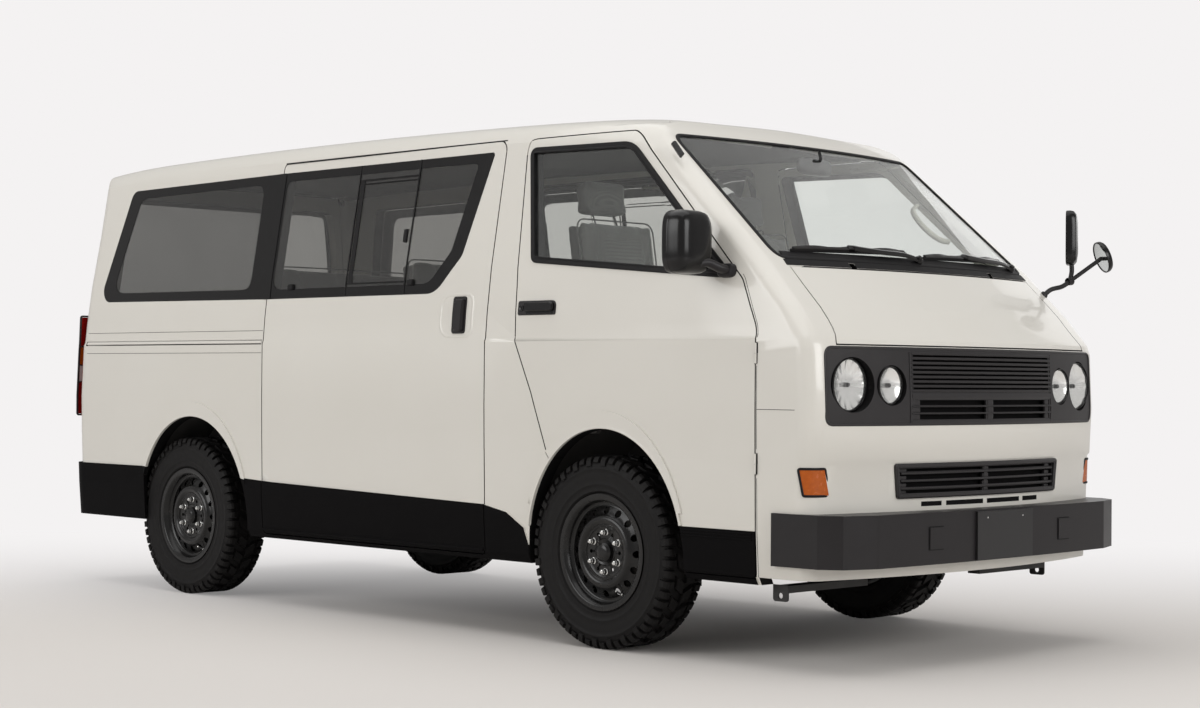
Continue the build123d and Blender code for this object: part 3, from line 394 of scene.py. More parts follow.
    # Pressed glass of the outer lamps, with upright flutes.
    FLUTED = ThinLens("fluted_lamp_glass", Slot.LENS, "F4F6F5", "ECEEED", 0.06, 0.01, mottle_mm=40,
                      veil=0.07, flute_mm=17.0)
    # Moulded acrylic lamp lenses, deep-coloured or clear.
    AMBER = Finish("moulded_amber_acrylic", Slot.AMBER, "B95A08", "974303", 0.26, 0.05, ior=1.49,
                   specular=0.3, coat=0.15, mottle_mm=12, grain_mm=4, grain_depth_mm=0.25)
    RED = Finish("moulded_red_acrylic", Slot.RED_LENS, "8E1512", "760E0C", 0.16, 0.04, ior=1.49,
                 coat=0.4, mottle_mm=14, grain_mm=5, grain_depth_mm=0.25)
    FROST = Finish("moulded_clear_acrylic", Slot.LENS, "D9DBDA", "C4C6C5", 0.15, 0.04, ior=1.49,
                   coat=0.4, mottle_mm=10, grain_mm=5, grain_depth_mm=0.25)
    # Needle-punched polyester headliner: pale grey, matt and fibrous.
    HEADLINER = Finish("needle_felt_headliner", Slot.FABRIC, "B9B7B0", "A9A7A0", 0.95, 0.03, mottle_mm=6,
                       grain_mm=2.0, grain_depth_mm=0.4)
    # Moulded trim panels: pale stone, grained.
    TRIM = Finish("moulded_stone_trim", Slot.DASH, "B4B1A7", "ABA89E", 0.55, 0.06, mottle_mm=80,
                  grain_mm=2.2, grain_depth_mm=0.1)
    # Slush-moulded dashboard skin: dark grey, soft and grained.
    DASH = Finish("slush_moulded_dash", Slot.DASH, "4A4947", "424140", 0.6, 0.06, mottle_mm=80,
                  grain_mm=2.0, grain_depth_mm=0.15)
    # Flat-woven seat cloth, mid grey.
    CLOTH = WovenCloth("woven_seat_cloth", Slot.FABRIC, "6B6A68", "4E4D4C", 0.9)
    # Vinyl floor covering, heat-embossed.
    VINYL = Finish("embossed_floor_vinyl", Slot.FABRIC, "3B3A39", "333231", 0.7, 0.08, mottle_mm=50,
                   grain_mm=5, grain_depth_mm=0.4)
    # Chassis black over hot-rolled steel, dusty.
    CHASSIS = Finish("chassis_black_paint", Slot.CHASSIS, "141313", "1E1C1A", 0.5, 0.12, mottle_mm=70,
                     grain_mm=6, grain_depth_mm=0.15)
    # Sand-cast aluminium and iron of the engine and hubs.
    CASTING = Finish("sand_cast_metal", Slot.CAST, "6E6C69", "514F4D", 0.6, 0.12, metallic=0.8,
                     mottle_mm=30, grain_mm=2, grain_depth_mm=0.3)
    # Blank plate: black polyester film on aluminium.
    PLATE = Finish("black_filmed_aluminium", Slot.PLATE, "1D1C1D", "191819", 0.36, 0.05, mottle_mm=50,
                   grain_mm=1.5, grain_depth_mm=0.02)


# ---------------------------------------------------------------- bodywork surface


def facing(origin: Vector, outward: Vector, up: Vector = UP) -> Matrix:
    """Matrix whose local Z points outward and whose local Y is nearly up."""
    z = outward.normalized()
    x = up.cross(z).normalized()
    return Matrix.Translation(origin) @ Matrix((x, z.cross(x), z)).transposed().to_4x4()


@dataclass(frozen=True)
class BodyLines:
    """Outer surface of the body: rows of (height, half width, nose X, tail X), and the roof's lines."""

    rows: tuple[tuple[float, float, float, float], ...] = (
        (280, 814, 1040, -3440), (310, 830, 1050, -3452), (460, 840, 1056, -3462), (565, 842, 1058, -3470),
        (684, 844.5, 1061, -3473.5), (694, 845, 1070, -3474), (860, 847.5, 1077, -3475),
        (1060, 847.5, 1068, -3462), (1092, 847.5, 1057, -3459), (1106, 842, 1048, -3457),
        (1200, 835, 968, -3452), (1365, 816, 800, -3443), (1600, 777, 524, -3428), (1824, 740, 261, -3424),
        (2000, 706, 54, -3420))
    roof_line: tuple[Point, ...] = ((-3700, 1880), (-3400, 1922), (-2800, 1948), (-2000, 1955), (-1000, 1948),
                                    (-300, 1931), (0, 1914), (150, 1893), (260, 1860), (420, 1780))
    roof_section: tuple[Point, ...] = ((0, 0), (400, -8), (630, -24), (692, -46), (726, -84), (770, -160))
    nose_bow: float = 0.000151
    tail_bow: float = 0.00003
    nose_corner: float = 75.0

    def roof(self, x: float, y: float) -> float:
        """Height of the roof's surface."""
        return self.between(self.roof_line, x, 1) + self.between(self.roof_section, abs(y), 1)

    def on_roof(self, x: float, z: float, out: float) -> tuple[Vector, Vector]:
        """Point and upward direction where the right-hand edge of the roof has a height.

        Args:
            x: forward of the front axle, in millimetres.
            z: height in millimetres.
            out: distance outside the surface.

        Returns:
            The point in frame metres, and the direction.
        """
        low, high = 400.0, self.half(z)
        for _ in range(24):
            mid = (low + high) / 2
            low, high = (mid, high) if self.roof(x, mid) > z else (low, mid)
        rise = self.roof(x, low + 4) - self.roof(x, low - 4)
        up = Vector((0, rise / 8, 1)).normalized()
        return at(x, -low, z) + up * out * MM, up

    def tail(self, y: float, z: float) -> float:
        """X of the tail surface."""
        return self.value(z, 3) + self.tail_bow * y * y

    def circle(self, z: float) -> Point:
        """Middle of the rounded front corner at a height, as X and |Y|."""
        radius = self.nose_corner
        middle_y = self.half(z) - radius
        first = math.atan(2 * self.nose_bow * (middle_y + radius * 0.2))
        touch = middle_y + radius * math.sin(first)
        return self.nose(touch, z) - radius * math.cos(first), middle_y

    def corner_from(self, x: float, y: float, z: float, out: float) -> tuple[Vector, Vector]:
        """Point and outward direction where a 45-degree line from a point meets the right front corner."""
        middle_x, middle_y = self.circle(z)
        away = Vector((x - middle_x, y + middle_y, 0))
        line = Vector((1, -1, 0)).normalized()
        along = away.dot(line)
        room = along * along - away.length_squared + (self.nose_corner + out) ** 2
        reach = -along + math.sqrt(max(room, 0))
        direction = (away + line * reach).normalized()
        return at(x + line.x * reach, y + line.y * reach, z), direction

    @staticmethod
    def between(rows: Sequence[Sequence[float]], key: float, column: int) -> float:
        """Straight-line value of a column, at a key in the rows' first column."""
        if key <= rows[0][0]:
            return rows[0][column]
        for low, high in zip(rows, rows[1:]):
            if key <= high[0]:
                share = (key - low[0]) / (high[0] - low[0])
                return low[column] + share * (high[column] - low[column])
        return rows[-1][column]

    def value(self, z: float, column: int) -> float:
        """Value of a column of the body's rows at a height."""
        return self.between(self.rows, z, column)

    def half(self, z: float) -> float:
        """Half width of the body at a height."""
        return self.value(z, 1)

    def nose(self, y: float, z: float) -> float:
        """X of the nose surface."""
        return self.value(z, 2) - self.nose_bow * y * y

    def on_side(self, x: float, z: float, out: float = 0.0, side: int = -1) -> Vector:
        """Point on a body side.

        Args:
            x: forward of the front axle, in millimetres.
            z: height in millimetres.
            out: distance outside the surface.
            side: -1 for the right side and 1 for the left.

        Returns:
            The point in frame metres.
        """
        return at(x, side * (self.half(z) + out), z)

    def side_normal(self, z: float, side: int = -1) -> Vector:
        """Outward direction of a body side at a height."""
        slope = (self.half(z + 4) - self.half(z - 4)) / 8
        return Vector((0, side, -slope)).normalized()

    def on_nose(self, y: float, z: float, out: float = 0.0) -> Vector:
        """Point on the nose, out millimetres in front of it, in frame metres."""
        return at(self.nose(y, z), y, z) + self.nose_normal(y, z) * out * MM

    def nose_normal(self, y: float, z: float) -> Vector:
        """Outward direction of the nose."""
        rise = (self.value(z + 4, 2) - self.value(z - 4, 2)) / 8
        return Vector((1, 2 * self.nose_bow * y, -rise)).normalized()

    def nose_place(self, y: float, z: float, out: float) -> Matrix:
        """Place on the nose whose local Z points outward."""
        return facing(self.on_nose(y, z, out), self.nose_normal(y, z))

    def side_place(self, x: float, z: float, out: float, side: int) -> Matrix:
        """Place on a body side whose local Z points outward."""
        return facing(self.on_side(x, z, out, side), self.side_normal(z, side))


LINES = BodyLines()


# ---------------------------------------------------------------- mesh making


def rounded(corners: Sequence[tuple[float, float, float]], spacing: float = 14.0) -> list[Point]:
    """Closed outline with rounded corners.

    Args:
        corners: corner points with a radius each, in order.
        spacing: largest distance between points along the straight runs.

    Returns:
        Points of the outline, without the first one repeated.
    """
    outline: list[Vector] = []
    count = len(corners)
    for k, (*corner, radius) in enumerate(corners):
        corner = Vector(corner)
        back = (Vector(corners[k - 1][:2]) - corner).normalized()
        ahead = (Vector(corners[(k + 1) % count][:2]) - corner).normalized()
        half = max(back.angle(ahead) / 2, 0.05)
        reach = radius / math.tan(half)
        start, end = corner + back * reach, corner + ahead * reach
        steps = 7 if radius > 1 else 0
        for i in range(steps + 1):
            share = i / steps if steps else 0.5
            near = start.lerp(corner, share)
            outline.append(near.lerp(corner.lerp(end, share), share) if steps else corner)
    points: list[Point] = []
    for k, here in enumerate(outline):
        there = outline[(k + 1) % len(outline)]
        pieces = max(1, math.ceil((there - here).length / spacing))
        points += [tuple(here.lerp(there, i / pieces)) for i in range(pieces)]
    return points


def panel(low: Point, high: Point, radius: float, spacing: float = 14.0) -> list[Point]:
    """Closed rectangle with four corners of one radius, from its lowest corner."""
    (a, b), (c, d) = low, high
    return rounded([(a, b, radius), (c, b, radius), (c, d, radius), (a, d, radius)], spacing)


def inset(outline: Sequence[Point], distance: float) -> list[Point]:
    """Outline moved inwards by a distance, or outwards when it is negative."""
    area = sum(a[0] * b[1] - b[0] * a[1] for a, b in zip(outline, [*outline[1:], outline[0]]))
    turn = 1 if area > 0 else -1
    moved = []
    for k, here in enumerate(outline):
        before, after = Vector(outline[k - 1]), Vector(outline[(k + 1) % len(outline)])
        along = (after - before).normalized()
        moved.append((here[0] - turn * along.y * distance, here[1] + turn * along.x * distance))
    return moved


def line_through(points: Sequence[Vector], steps: int = 6) -> list[Vector]:
    """Smooth line that passes through each point, with steps pieces between two points."""
    line: list[Vector] = []
    last = len(points) - 1
    for k in range(last):
        p0, p1, p2, p3 = points[max(k - 1, 0)], points[k], points[k + 1], points[min(k + 2, last)]
        for i in range(steps):
            t = i / steps
            line.append(0.5 * ((2 * p1) + (p2 - p0) * t + (2 * p0 - 5 * p1 + 4 * p2 - p3) * t * t
                               + (3 * p1 - p0 - 3 * p2 + p3) * t ** 3))
    line.append(points[-1].copy())
    return line


def reach_of(loop: Sequence[Point], middle: Point, turn: float) -> Point:
    """Point where a ray from the middle at an angle leaves a closed outline round it."""
    ray, start = Vector((math.cos(turn), math.sin(turn))), Vector(middle)
    best = 0.0
    for a, b in zip(loop, [*loop[1:], loop[0]]):
        edge, away = Vector(b) - Vector(a), Vector(a) - start
        across = ray.x * edge.y - ray.y * edge.x
        if abs(across) < 1e-9:
            continue
        reach = (away.x * edge.y - away.y * edge.x) / across
        share = (away.x * ray.y - away.y * ray.x) / across
        if reach > 0 and -1e-6 <= share <= 1 + 1e-6:
            best = max(best, reach)
    return tuple(start + ray * best)


def oval(width: float, height: float, sides: int = 12, power: float = 1.0) -> list[Point]:
    """Cross-section of a bar: an ellipse, or squarer with a power below one."""
    def squared(value: float) -> float:
        """A sine or cosine raised to the power, with its sign kept."""
        return math.copysign(abs(value) ** power, value) / 2

    turns = [2 * math.pi * k / sides for k in range(sides)]
    return [(squared(math.cos(turn)) * width, squared(math.sin(turn)) * height) for turn in turns]


def crowned(width: float, height: float, edge: float = 1.5) -> list[Point]:
    """Cross-section of a moulding: flat below and crowned above with rolled edges."""
    half = width / 2
    return [(-half, -3), (half, -3), (half, height - edge), (half - edge, height - edge * 0.3),
            (half * 0.5, height), (-half * 0.5, height), (edge - half, height - edge * 0.3),
            (-half, height - edge)]


def ridge(foot: float, low: float, top: float, high: float) -> list[Point]:
    """Cross-section of a strip with flat faces, from the half width and height of its foot and of its top."""
    return [(-foot, low), (foot, low), (top, high), (-top, high)]


class Shape:
    """A mesh being made, in frame metres. Sizes given to its methods are millimetres."""

    def __init__(self) -> None:
        """Start with no mesh."""
        self.mesh = bmesh.new()

    def sweep(self, path: Sequence[Vector], section: Sequence[Point], ups: Sequence[Vector] | Vector,
              closed: bool = False) -> "Shape":
        """Carry a cross-section along a path.

        Args:
            path: points in frame metres.
            section: outline as (sideways, up) points in millimetres.
            ups: up direction at each point, or one for them all.
            closed: whether the path joins its own start.

        Returns:
            This shape.
        """
        rings, count = [], len(path)
        for k, here in enumerate(path):
            before = path[k - 1] if closed or k else here
            after = path[(k + 1) % count] if closed or k < count - 1 else here
            along = (after - before).normalized()
            up = ups if isinstance(ups, Vector) else ups[k]
            side = along.cross(up).normalized()
            up = side.cross(along)
            rings.append([self.mesh.verts.new(here + side * a * MM + up * b * MM) for a, b in section])
        if closed:
            return self.skin([*rings, rings[0]])
        return self.skin(rings).capped(rings)

    def skin(self, rings: Sequence[Sequence[bmesh.types.BMVert]]) -> "Shape":
        """Span neighbouring rings with faces. A ring of one vertex closes a point."""
        for low, high in zip(rings, rings[1:]):
            count = max(len(low), len(high))
            for k in range(count):
                j = (k + 1) % count
                corners = [low[k % len(low)], low[j % len(low)], high[j % len(high)], high[k % len(high)]]
                unique = list(dict.fromkeys(corners))
                if len(unique) > 2:
                    self.mesh.faces.new(unique)
        return self

    def capped(self, rings: Sequence[Sequence[bmesh.types.BMVert]]) -> "Shape":
        """Close the first and the last ring with a face each."""
        self.mesh.faces.new(list(reversed(rings[0])))
        self.mesh.faces.new(rings[-1])
        return self

    def lay(self, loop: tuple[list[Vector], list[Vector]], section: Sequence[Point],
            closed: bool = False) -> "Shape":
        """Carry a cross-section along a path with its up directions, as side_loop and its like give them."""
        return self.sweep(loop[0], section, loop[1], closed)

    def tube(self, points: Sequence[Vector], radius: float, sides: int = 12) -> "Shape":
        """Round bar along a smooth line through the points."""
        path = line_through(points) if len(points) > 2 else list(points)
        along = (path[-1] - path[0]).normalized()
        up = UP if abs(along.z) < 0.8 else Vector((0, 1, 0))
        return self.sweep(path, oval(radius * 2, radius * 2, sides), up)

    def lathe(self, profile: Sequence[Point], place: Matrix, segments: int = 48,
              sag: Callable[[float], float] | None = None) -> "Shape":
        """Turn a profile round the local Z axis.

        Args:
            profile: (radius, height) points in millimetres.
            place: where the local axes stand in the frame.
            segments: faces round the turn.
            sag: factor on the radius by angle, for parts that aren't quite round.

        Returns:
            This shape.
        """
        rings: list[list[bmesh.types.BMVert]] = []
        for radius, height in profile:
            if radius < 1e-6:
                rings.append([self.mesh.verts.new(place @ Vector((0, 0, height * MM)))])
                continue
            ring = []
            for turn in [2 * math.pi * k / segments for k in range(segments)]:
                reach = radius * MM * (sag(turn) if sag else 1)
                spot = Vector((reach * math.cos(turn), reach * math.sin(turn), height * MM))
                ring.append(self.mesh.verts.new(place @ spot))
            rings.append(ring)
        return self.skin(rings)

    def block(self, size: Sequence[float], place: Matrix, edge: float = 2.0, segments: int = 2,
              taper: float = 1.0) -> "Shape":
        """Block with rolled edges.

        Args:
            size: length along each local axis.
            place: where the block's middle stands.
            edge: radius of the edges.
            segments: faces round each edge.
            taper: how much smaller the far face along local Z is.

        Returns:
            This shape.
        """
        made = bmesh.new()
        bmesh.ops.create_cube(made, size=1.0)
        for vert in made.verts:
            x, y, z = vert.co
            shrink = taper if z > 0 else 1.0
            vert.co = Vector((x * size[0] * shrink, y * size[1] * shrink, z * size[2])) * MM
        bmesh.ops.bevel(made, geom=list(made.edges), offset=edge * MM, segments=segments, profile=0.6,
                        affect="EDGES", clamp_overlap=True)
        made.transform(place)
        return self.add(made)

    def plate(self, outline: Sequence[Point], lay: Callable[[float, float, float], Vector], depth: float,
              edge: float = 1.0) -> "Shape":
        """Plate of even thickness that follows a surface.

        Args:
            outline: outline points in the surface's two coordinates.
            lay: gives the frame position of (a, b, height above the surface).
            depth: thickness.
            edge: how far the top face is drawn in, for a rolled edge.

        Returns:
            This shape.
        """
        levels = ((outline, 0.0), (outline, depth - edge), (inset(outline, edge), depth))
        rings = [[self.mesh.verts.new(lay(a, b, height)) for a, b in ring] for ring, height in levels]
        return self.skin(rings).capped(rings)

    def add(self, other: bmesh.types.BMesh) -> "Shape":
        """Take in another mesh and free it."""
        data = bpy.data.meshes.new("scrap")
        other.to_mesh(data)
        other.free()
        self.mesh.from_mesh(data)
        bpy.data.meshes.remove(data)
        return self

    def mirrored(self) -> "Shape":
        """This shape with its mirror image across the middle of the van added."""
        other = self.mesh.copy()
        bmesh.ops.transform(other, matrix=Matrix.Diagonal((1, -1, 1, 1)), verts=other.verts)
        bmesh.ops.reverse_faces(other, faces=other.faces)
        return self.add(other)

    def flipped(self) -> "Shape":
        """This shape moved to its mirror image across the middle of the van."""
        self.mesh.transform(Matrix.Diagonal((1, -1, 1, 1)))
        bmesh.ops.reverse_faces(self.mesh, faces=self.mesh.faces)
        return self

    def piece(self, name: str, finish: Finish, body: Body = Body.SHELL, replaces: Sequence[str] = (),
              smooth: float = 32.0) -> bpy.types.Object:
        """Finish the mesh as a piece of the van.

        Args:
            name: the piece's name.
            finish: what it is made of.
            body: body that it rides on.
            replaces: CAD nodes that it stands for.
            smooth: angle in degrees below which an edge is shaded smooth.

        Returns:
            The new object.
        """
        bmesh.ops.recalc_face_normals(self.mesh, faces=self.mesh.faces)
        data = bpy.data.meshes.new(name)
        self.mesh.to_mesh(data)
        self.mesh.free()
        return settle(name, data, finish, body, replaces, smooth)


def settle(name: str, data: bpy.types.Mesh, finish: Finish, body: Body, replaces: Sequence[str] = (),
           smooth: float = 32.0) -> bpy.types.Object:
    """Put a finished mesh in the scene, dressed and riding on its body."""
    data.shade_smooth()
    data.set_sharp_from_angle(angle=math.radians(smooth))
    data.materials.clear()
    data.materials.append(finish.material())
    made = bpy.data.objects.new(name, data)
    bpy.context.scene.collection.objects.link(made)
    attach(made, body.value)
    if replaces:
        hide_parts(*replaces)
    log.info("%s: %d faces on %s", name, len(data.polygons), body.value)
    return made


def restyle(node: str, body: Body, parts: Sequence[tuple[str, Finish, Callable[[Vector, Vector], bool]]],
            smooth: float = 14.0, relief: float = 0.0) -> None:
    """Stand dressed pieces for a CAD node, split by what each face is made of.

    Args:
        node: CAD node whose shape is kept.
        body: body that it rides on.
        parts: name ending, finish and test for each piece. A face goes to the first piece whose test
            of its middle (millimetres from the front axle) and outward direction passes.
        smooth: angle in degrees below which an edge is shaded smooth.
        relief: how far the surface is drawn in, so that glass doesn't share a face with its rebate.
    """
    source = bmesh.new()
    source.from_mesh(frame["nodes"][node].data)
    bmesh.ops.remove_doubles(source, verts=source.verts, dist=1e-5)
    source.normal_update()
    for vert in source.verts:
        vert.co -= vert.normal * relief * MM
    shares: list[set[int]] = [set() for _ in parts]
    for face in source.faces:
        centre = face.calc_center_median()
        place = Vector(((centre.x - AXLE_X) / MM, centre.y / MM, centre.z / MM))
        for k, (_, _, test) in enumerate(parts):
            if test(place, face.normal):
                shares[k].add(face.index)
                break
    for (ending, finish, _), share in zip(parts, shares):
        if not share:
            continue
        part = source.copy()
        bmesh.ops.delete(part, geom=[f for f in part.faces if f.index not in share], context="FACES")
        data = bpy.data.meshes.new(f"{node}_{ending}")
        part.to_mesh(data)
        part.free()
        settle(data.name, data, finish, body, (), smooth)
    source.free()
    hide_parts(node)


# ---------------------------------------------------------------- studio and camera


@dataclass
class Studio:
    """Seamless paper sweep, soft lamps and the camera."""

    paper_near: str = "D6D2CE"
    paper_far: str = "F4F2F2"
    paper_middle: Triple = (6.5, -6.2, 0.0)
    floor_size: float = 60.0
    eye: Triple = (5340.4, -6201.1, 956.5)
    yaw: float = 0.787950
    pitch: float = 0.011557
    roll: float = 0.007999
    lens: float = 64.1836

    def build(self) -> None:
        """Build the sweep, the world, the lamps and the camera."""
        self.sweep()
        self.world()
        self.lamp("top_softbox", (0.2, -0.6, 7.0), (0.2, 0.0, 0.8), (8.5, 7.5), 226.0)
        self.lamp("side_softbox", (-2.5, -9.5, 4.2), (-0.4, 0.0, 1.0), (7.0, 4.5), 345.0)
        self.lamp("front_softbox", (9.5, -1.0, 3.6), (2.0, 0.0, 0.9), (5.0, 4.0), 300.0)
        self.lamp("far_softbox", (-1.0, 9.5, 4.0), (0.0, 0.0, 1.0), (6.0, 4.0), 62.0)
        self.camera()
        bpy.context.scene.view_settings.view_transform = "Standard"

    def sweep(self) -> None:
        """Pale matt paper floor that runs out to a white distance."""
        paper = bpy.data.materials.new("matt_studio_paper")
        paper.use_nodes = True
        tree = paper.node_tree
        place = local(tree)
        shares = []
        for measure, low, high in (({"operation": "DISTANCE", 1: self.paper_middle}, 7.9, 13.4),
                                   ({"operation": "LENGTH"}, 4.5, 9.0)):
            distance = add_node(tree, "ShaderNodeVectorMath", measure, {0: place})
            fade = add_node(tree, "ShaderNodeMapRange", {"From Min": low, "From Max": high,
                                                         "interpolation_type": "SMOOTHSTEP"},
                            {"Value": distance.outputs["Value"]})
            shares.append(fade.outputs["Result"])
        farther = add_node(tree, "ShaderNodeMath", {"operation": "MAXIMUM"}, dict(enumerate(shares)))
        share = farther.outputs["Value"]
        surface = tune(tree.nodes["Principled BSDF"], {"Roughness": 0.9, "Specular IOR Level": 0.2},
                       {"Base Color": tinted(tree, self.paper_near, self.paper_far, share)})
        white = add_node(tree, "ShaderNodeEmission", {"Color": linear(self.paper_far), "Strength": 1.0})
        seen = add_node(tree, "ShaderNodeLightPath")
        far = add_node(tree, "ShaderNodeMath", {"operation": "MULTIPLY"},
                       {0: share, 1: seen.outputs["Is Camera Ray"]})
        cover(tree, "Material Output", far.outputs["Value"], surface.outputs["BSDF"],
              white.outputs["Emission"])
        made = bmesh.new()
        bmesh.ops.create_circle(made, cap_ends=True, segments=64, radius=self.floor_size)
        data = bpy.data.meshes.new("paper_floor")
        made.to_mesh(data)
        made.free()
        data.materials.append(paper)
        floor = bpy.data.objects.new("paper_floor", data)
        bpy.context.scene.collection.objects.link(floor)

    def world(self) -> None:
        """Even white surround: plain light, and a white distance for the camera and reflections."""
        world = bpy.data.worlds.new("white_surround")
        bpy.context.scene.world = world
        world.use_nodes = True
        tree = world.node_tree
        light = tune(tree.nodes["Background"], {"Color": linear("F6F4F2"), "Strength": 0.5})
        seen = add_node(tree, "ShaderNodeBackground", {"Color": linear(self.paper_far), "Strength": 1.0})
        path = add_node(tree, "ShaderNodeLightPath")
        direct = add_node(tree, "ShaderNodeMath", {"operation": "MAXIMUM"},
                          {0: path.outputs["Is Camera Ray"], 1: path.outputs["Is Transmission Ray"]})
        cover(tree, "World Output", direct.outputs["Value"], light.outputs["Background"],
              seen.outputs["Background"])

    def lamp(self, name: str, place: Triple, aim: Triple, size: Point, power: float) -> None:
        """Add one soft rectangular lamp.

        Args:
            name: the lamp's name.
            place: its position in frame metres.
            aim: point that it faces.
            size: width and height in metres.
            power: watts.
        """
        data = bpy.data.lights.new(name, "AREA")
        data.shape = "RECTANGLE"
        data.size, data.size_y = size
        data.energy = power
        made = bpy.data.objects.new(name, data)
        made.location = place
        made.rotation_euler = (Vector(aim) - Vector(place)).to_track_quat("-Z", "Y").to_euler()
        bpy.context.scene.collection.objects.link(made)

    def camera(self) -> None:
        """Set the camera at the front right corner, low, with a long lens."""
        flat = math.cos(self.pitch)
        ahead = Vector((-math.cos(self.yaw) * flat, math.sin(self.yaw) * flat, math.sin(self.pitch)))
        level = ahead.cross(UP).normalized()
        rise = level.cross(ahead)
        right = level * math.cos(self.roll) + rise * math.sin(self.roll)
        up = rise * math.cos(self.roll) - level * math.sin(self.roll)
        data = bpy.data.cameras.new("studio_camera")
        data.sensor_width = 36.0
        data.lens = self.lens
        made = bpy.data.objects.new("studio_camera", data)
        turn = Matrix((right, up, -ahead)).transposed().to_4x4()
        made.matrix_world = Matrix.Translation(at(*self.eye)) @ turn
        bpy.context.scene.collection.objects.link(made)
        bpy.context.scene.camera = made


# ---------------------------------------------------------------- bodywork

DOOR_FRONT = ((84, 1872, 95), (662, 1296, 60), (735, 1130, 90), (735, 298, 12), (300, 298, 4))
FRONT_WINDOW = ((-452, 1806, 24), (70, 1794, 120), (452, 1440, 60), (610, 1303, 22), (-372, 1388, 26))
SLIDING_WINDOW = ((-1966, 1278, 8), (-1966, 1812, 8), (-655, 1812, 12), (-770, 1420, 60), (-905, 1278, 120))
QUARTER_WINDOW = ((-3268, 1290, 60), (-3120, 1800, 46), (-1998, 1812, 8), (-1998, 1278, 8))
WINDSCREEN = ((724, 1362, 45), (676, 1826, 45), (-676, 1826, 45), (-724, 1362, 45))
REAR_WINDOW = ((660, 1300, 50), (596, 1790, 50), (-596, 1790, 50), (-660, 1300, 50))
# Wheel arches: middle X, half width, height over the wheel's middle, and the angles where the lip ends.
ARCHES = ((27, 384, 440, 15.3, 170), (-2492, 402, 438, 24.6, 152))
WHEEL_HEIGHT = 342
CLADDING_LINE = ((-2120, 525), (-1900, 515), (-600, 486), (-470, 462), (-380, 410), (-350, 330))


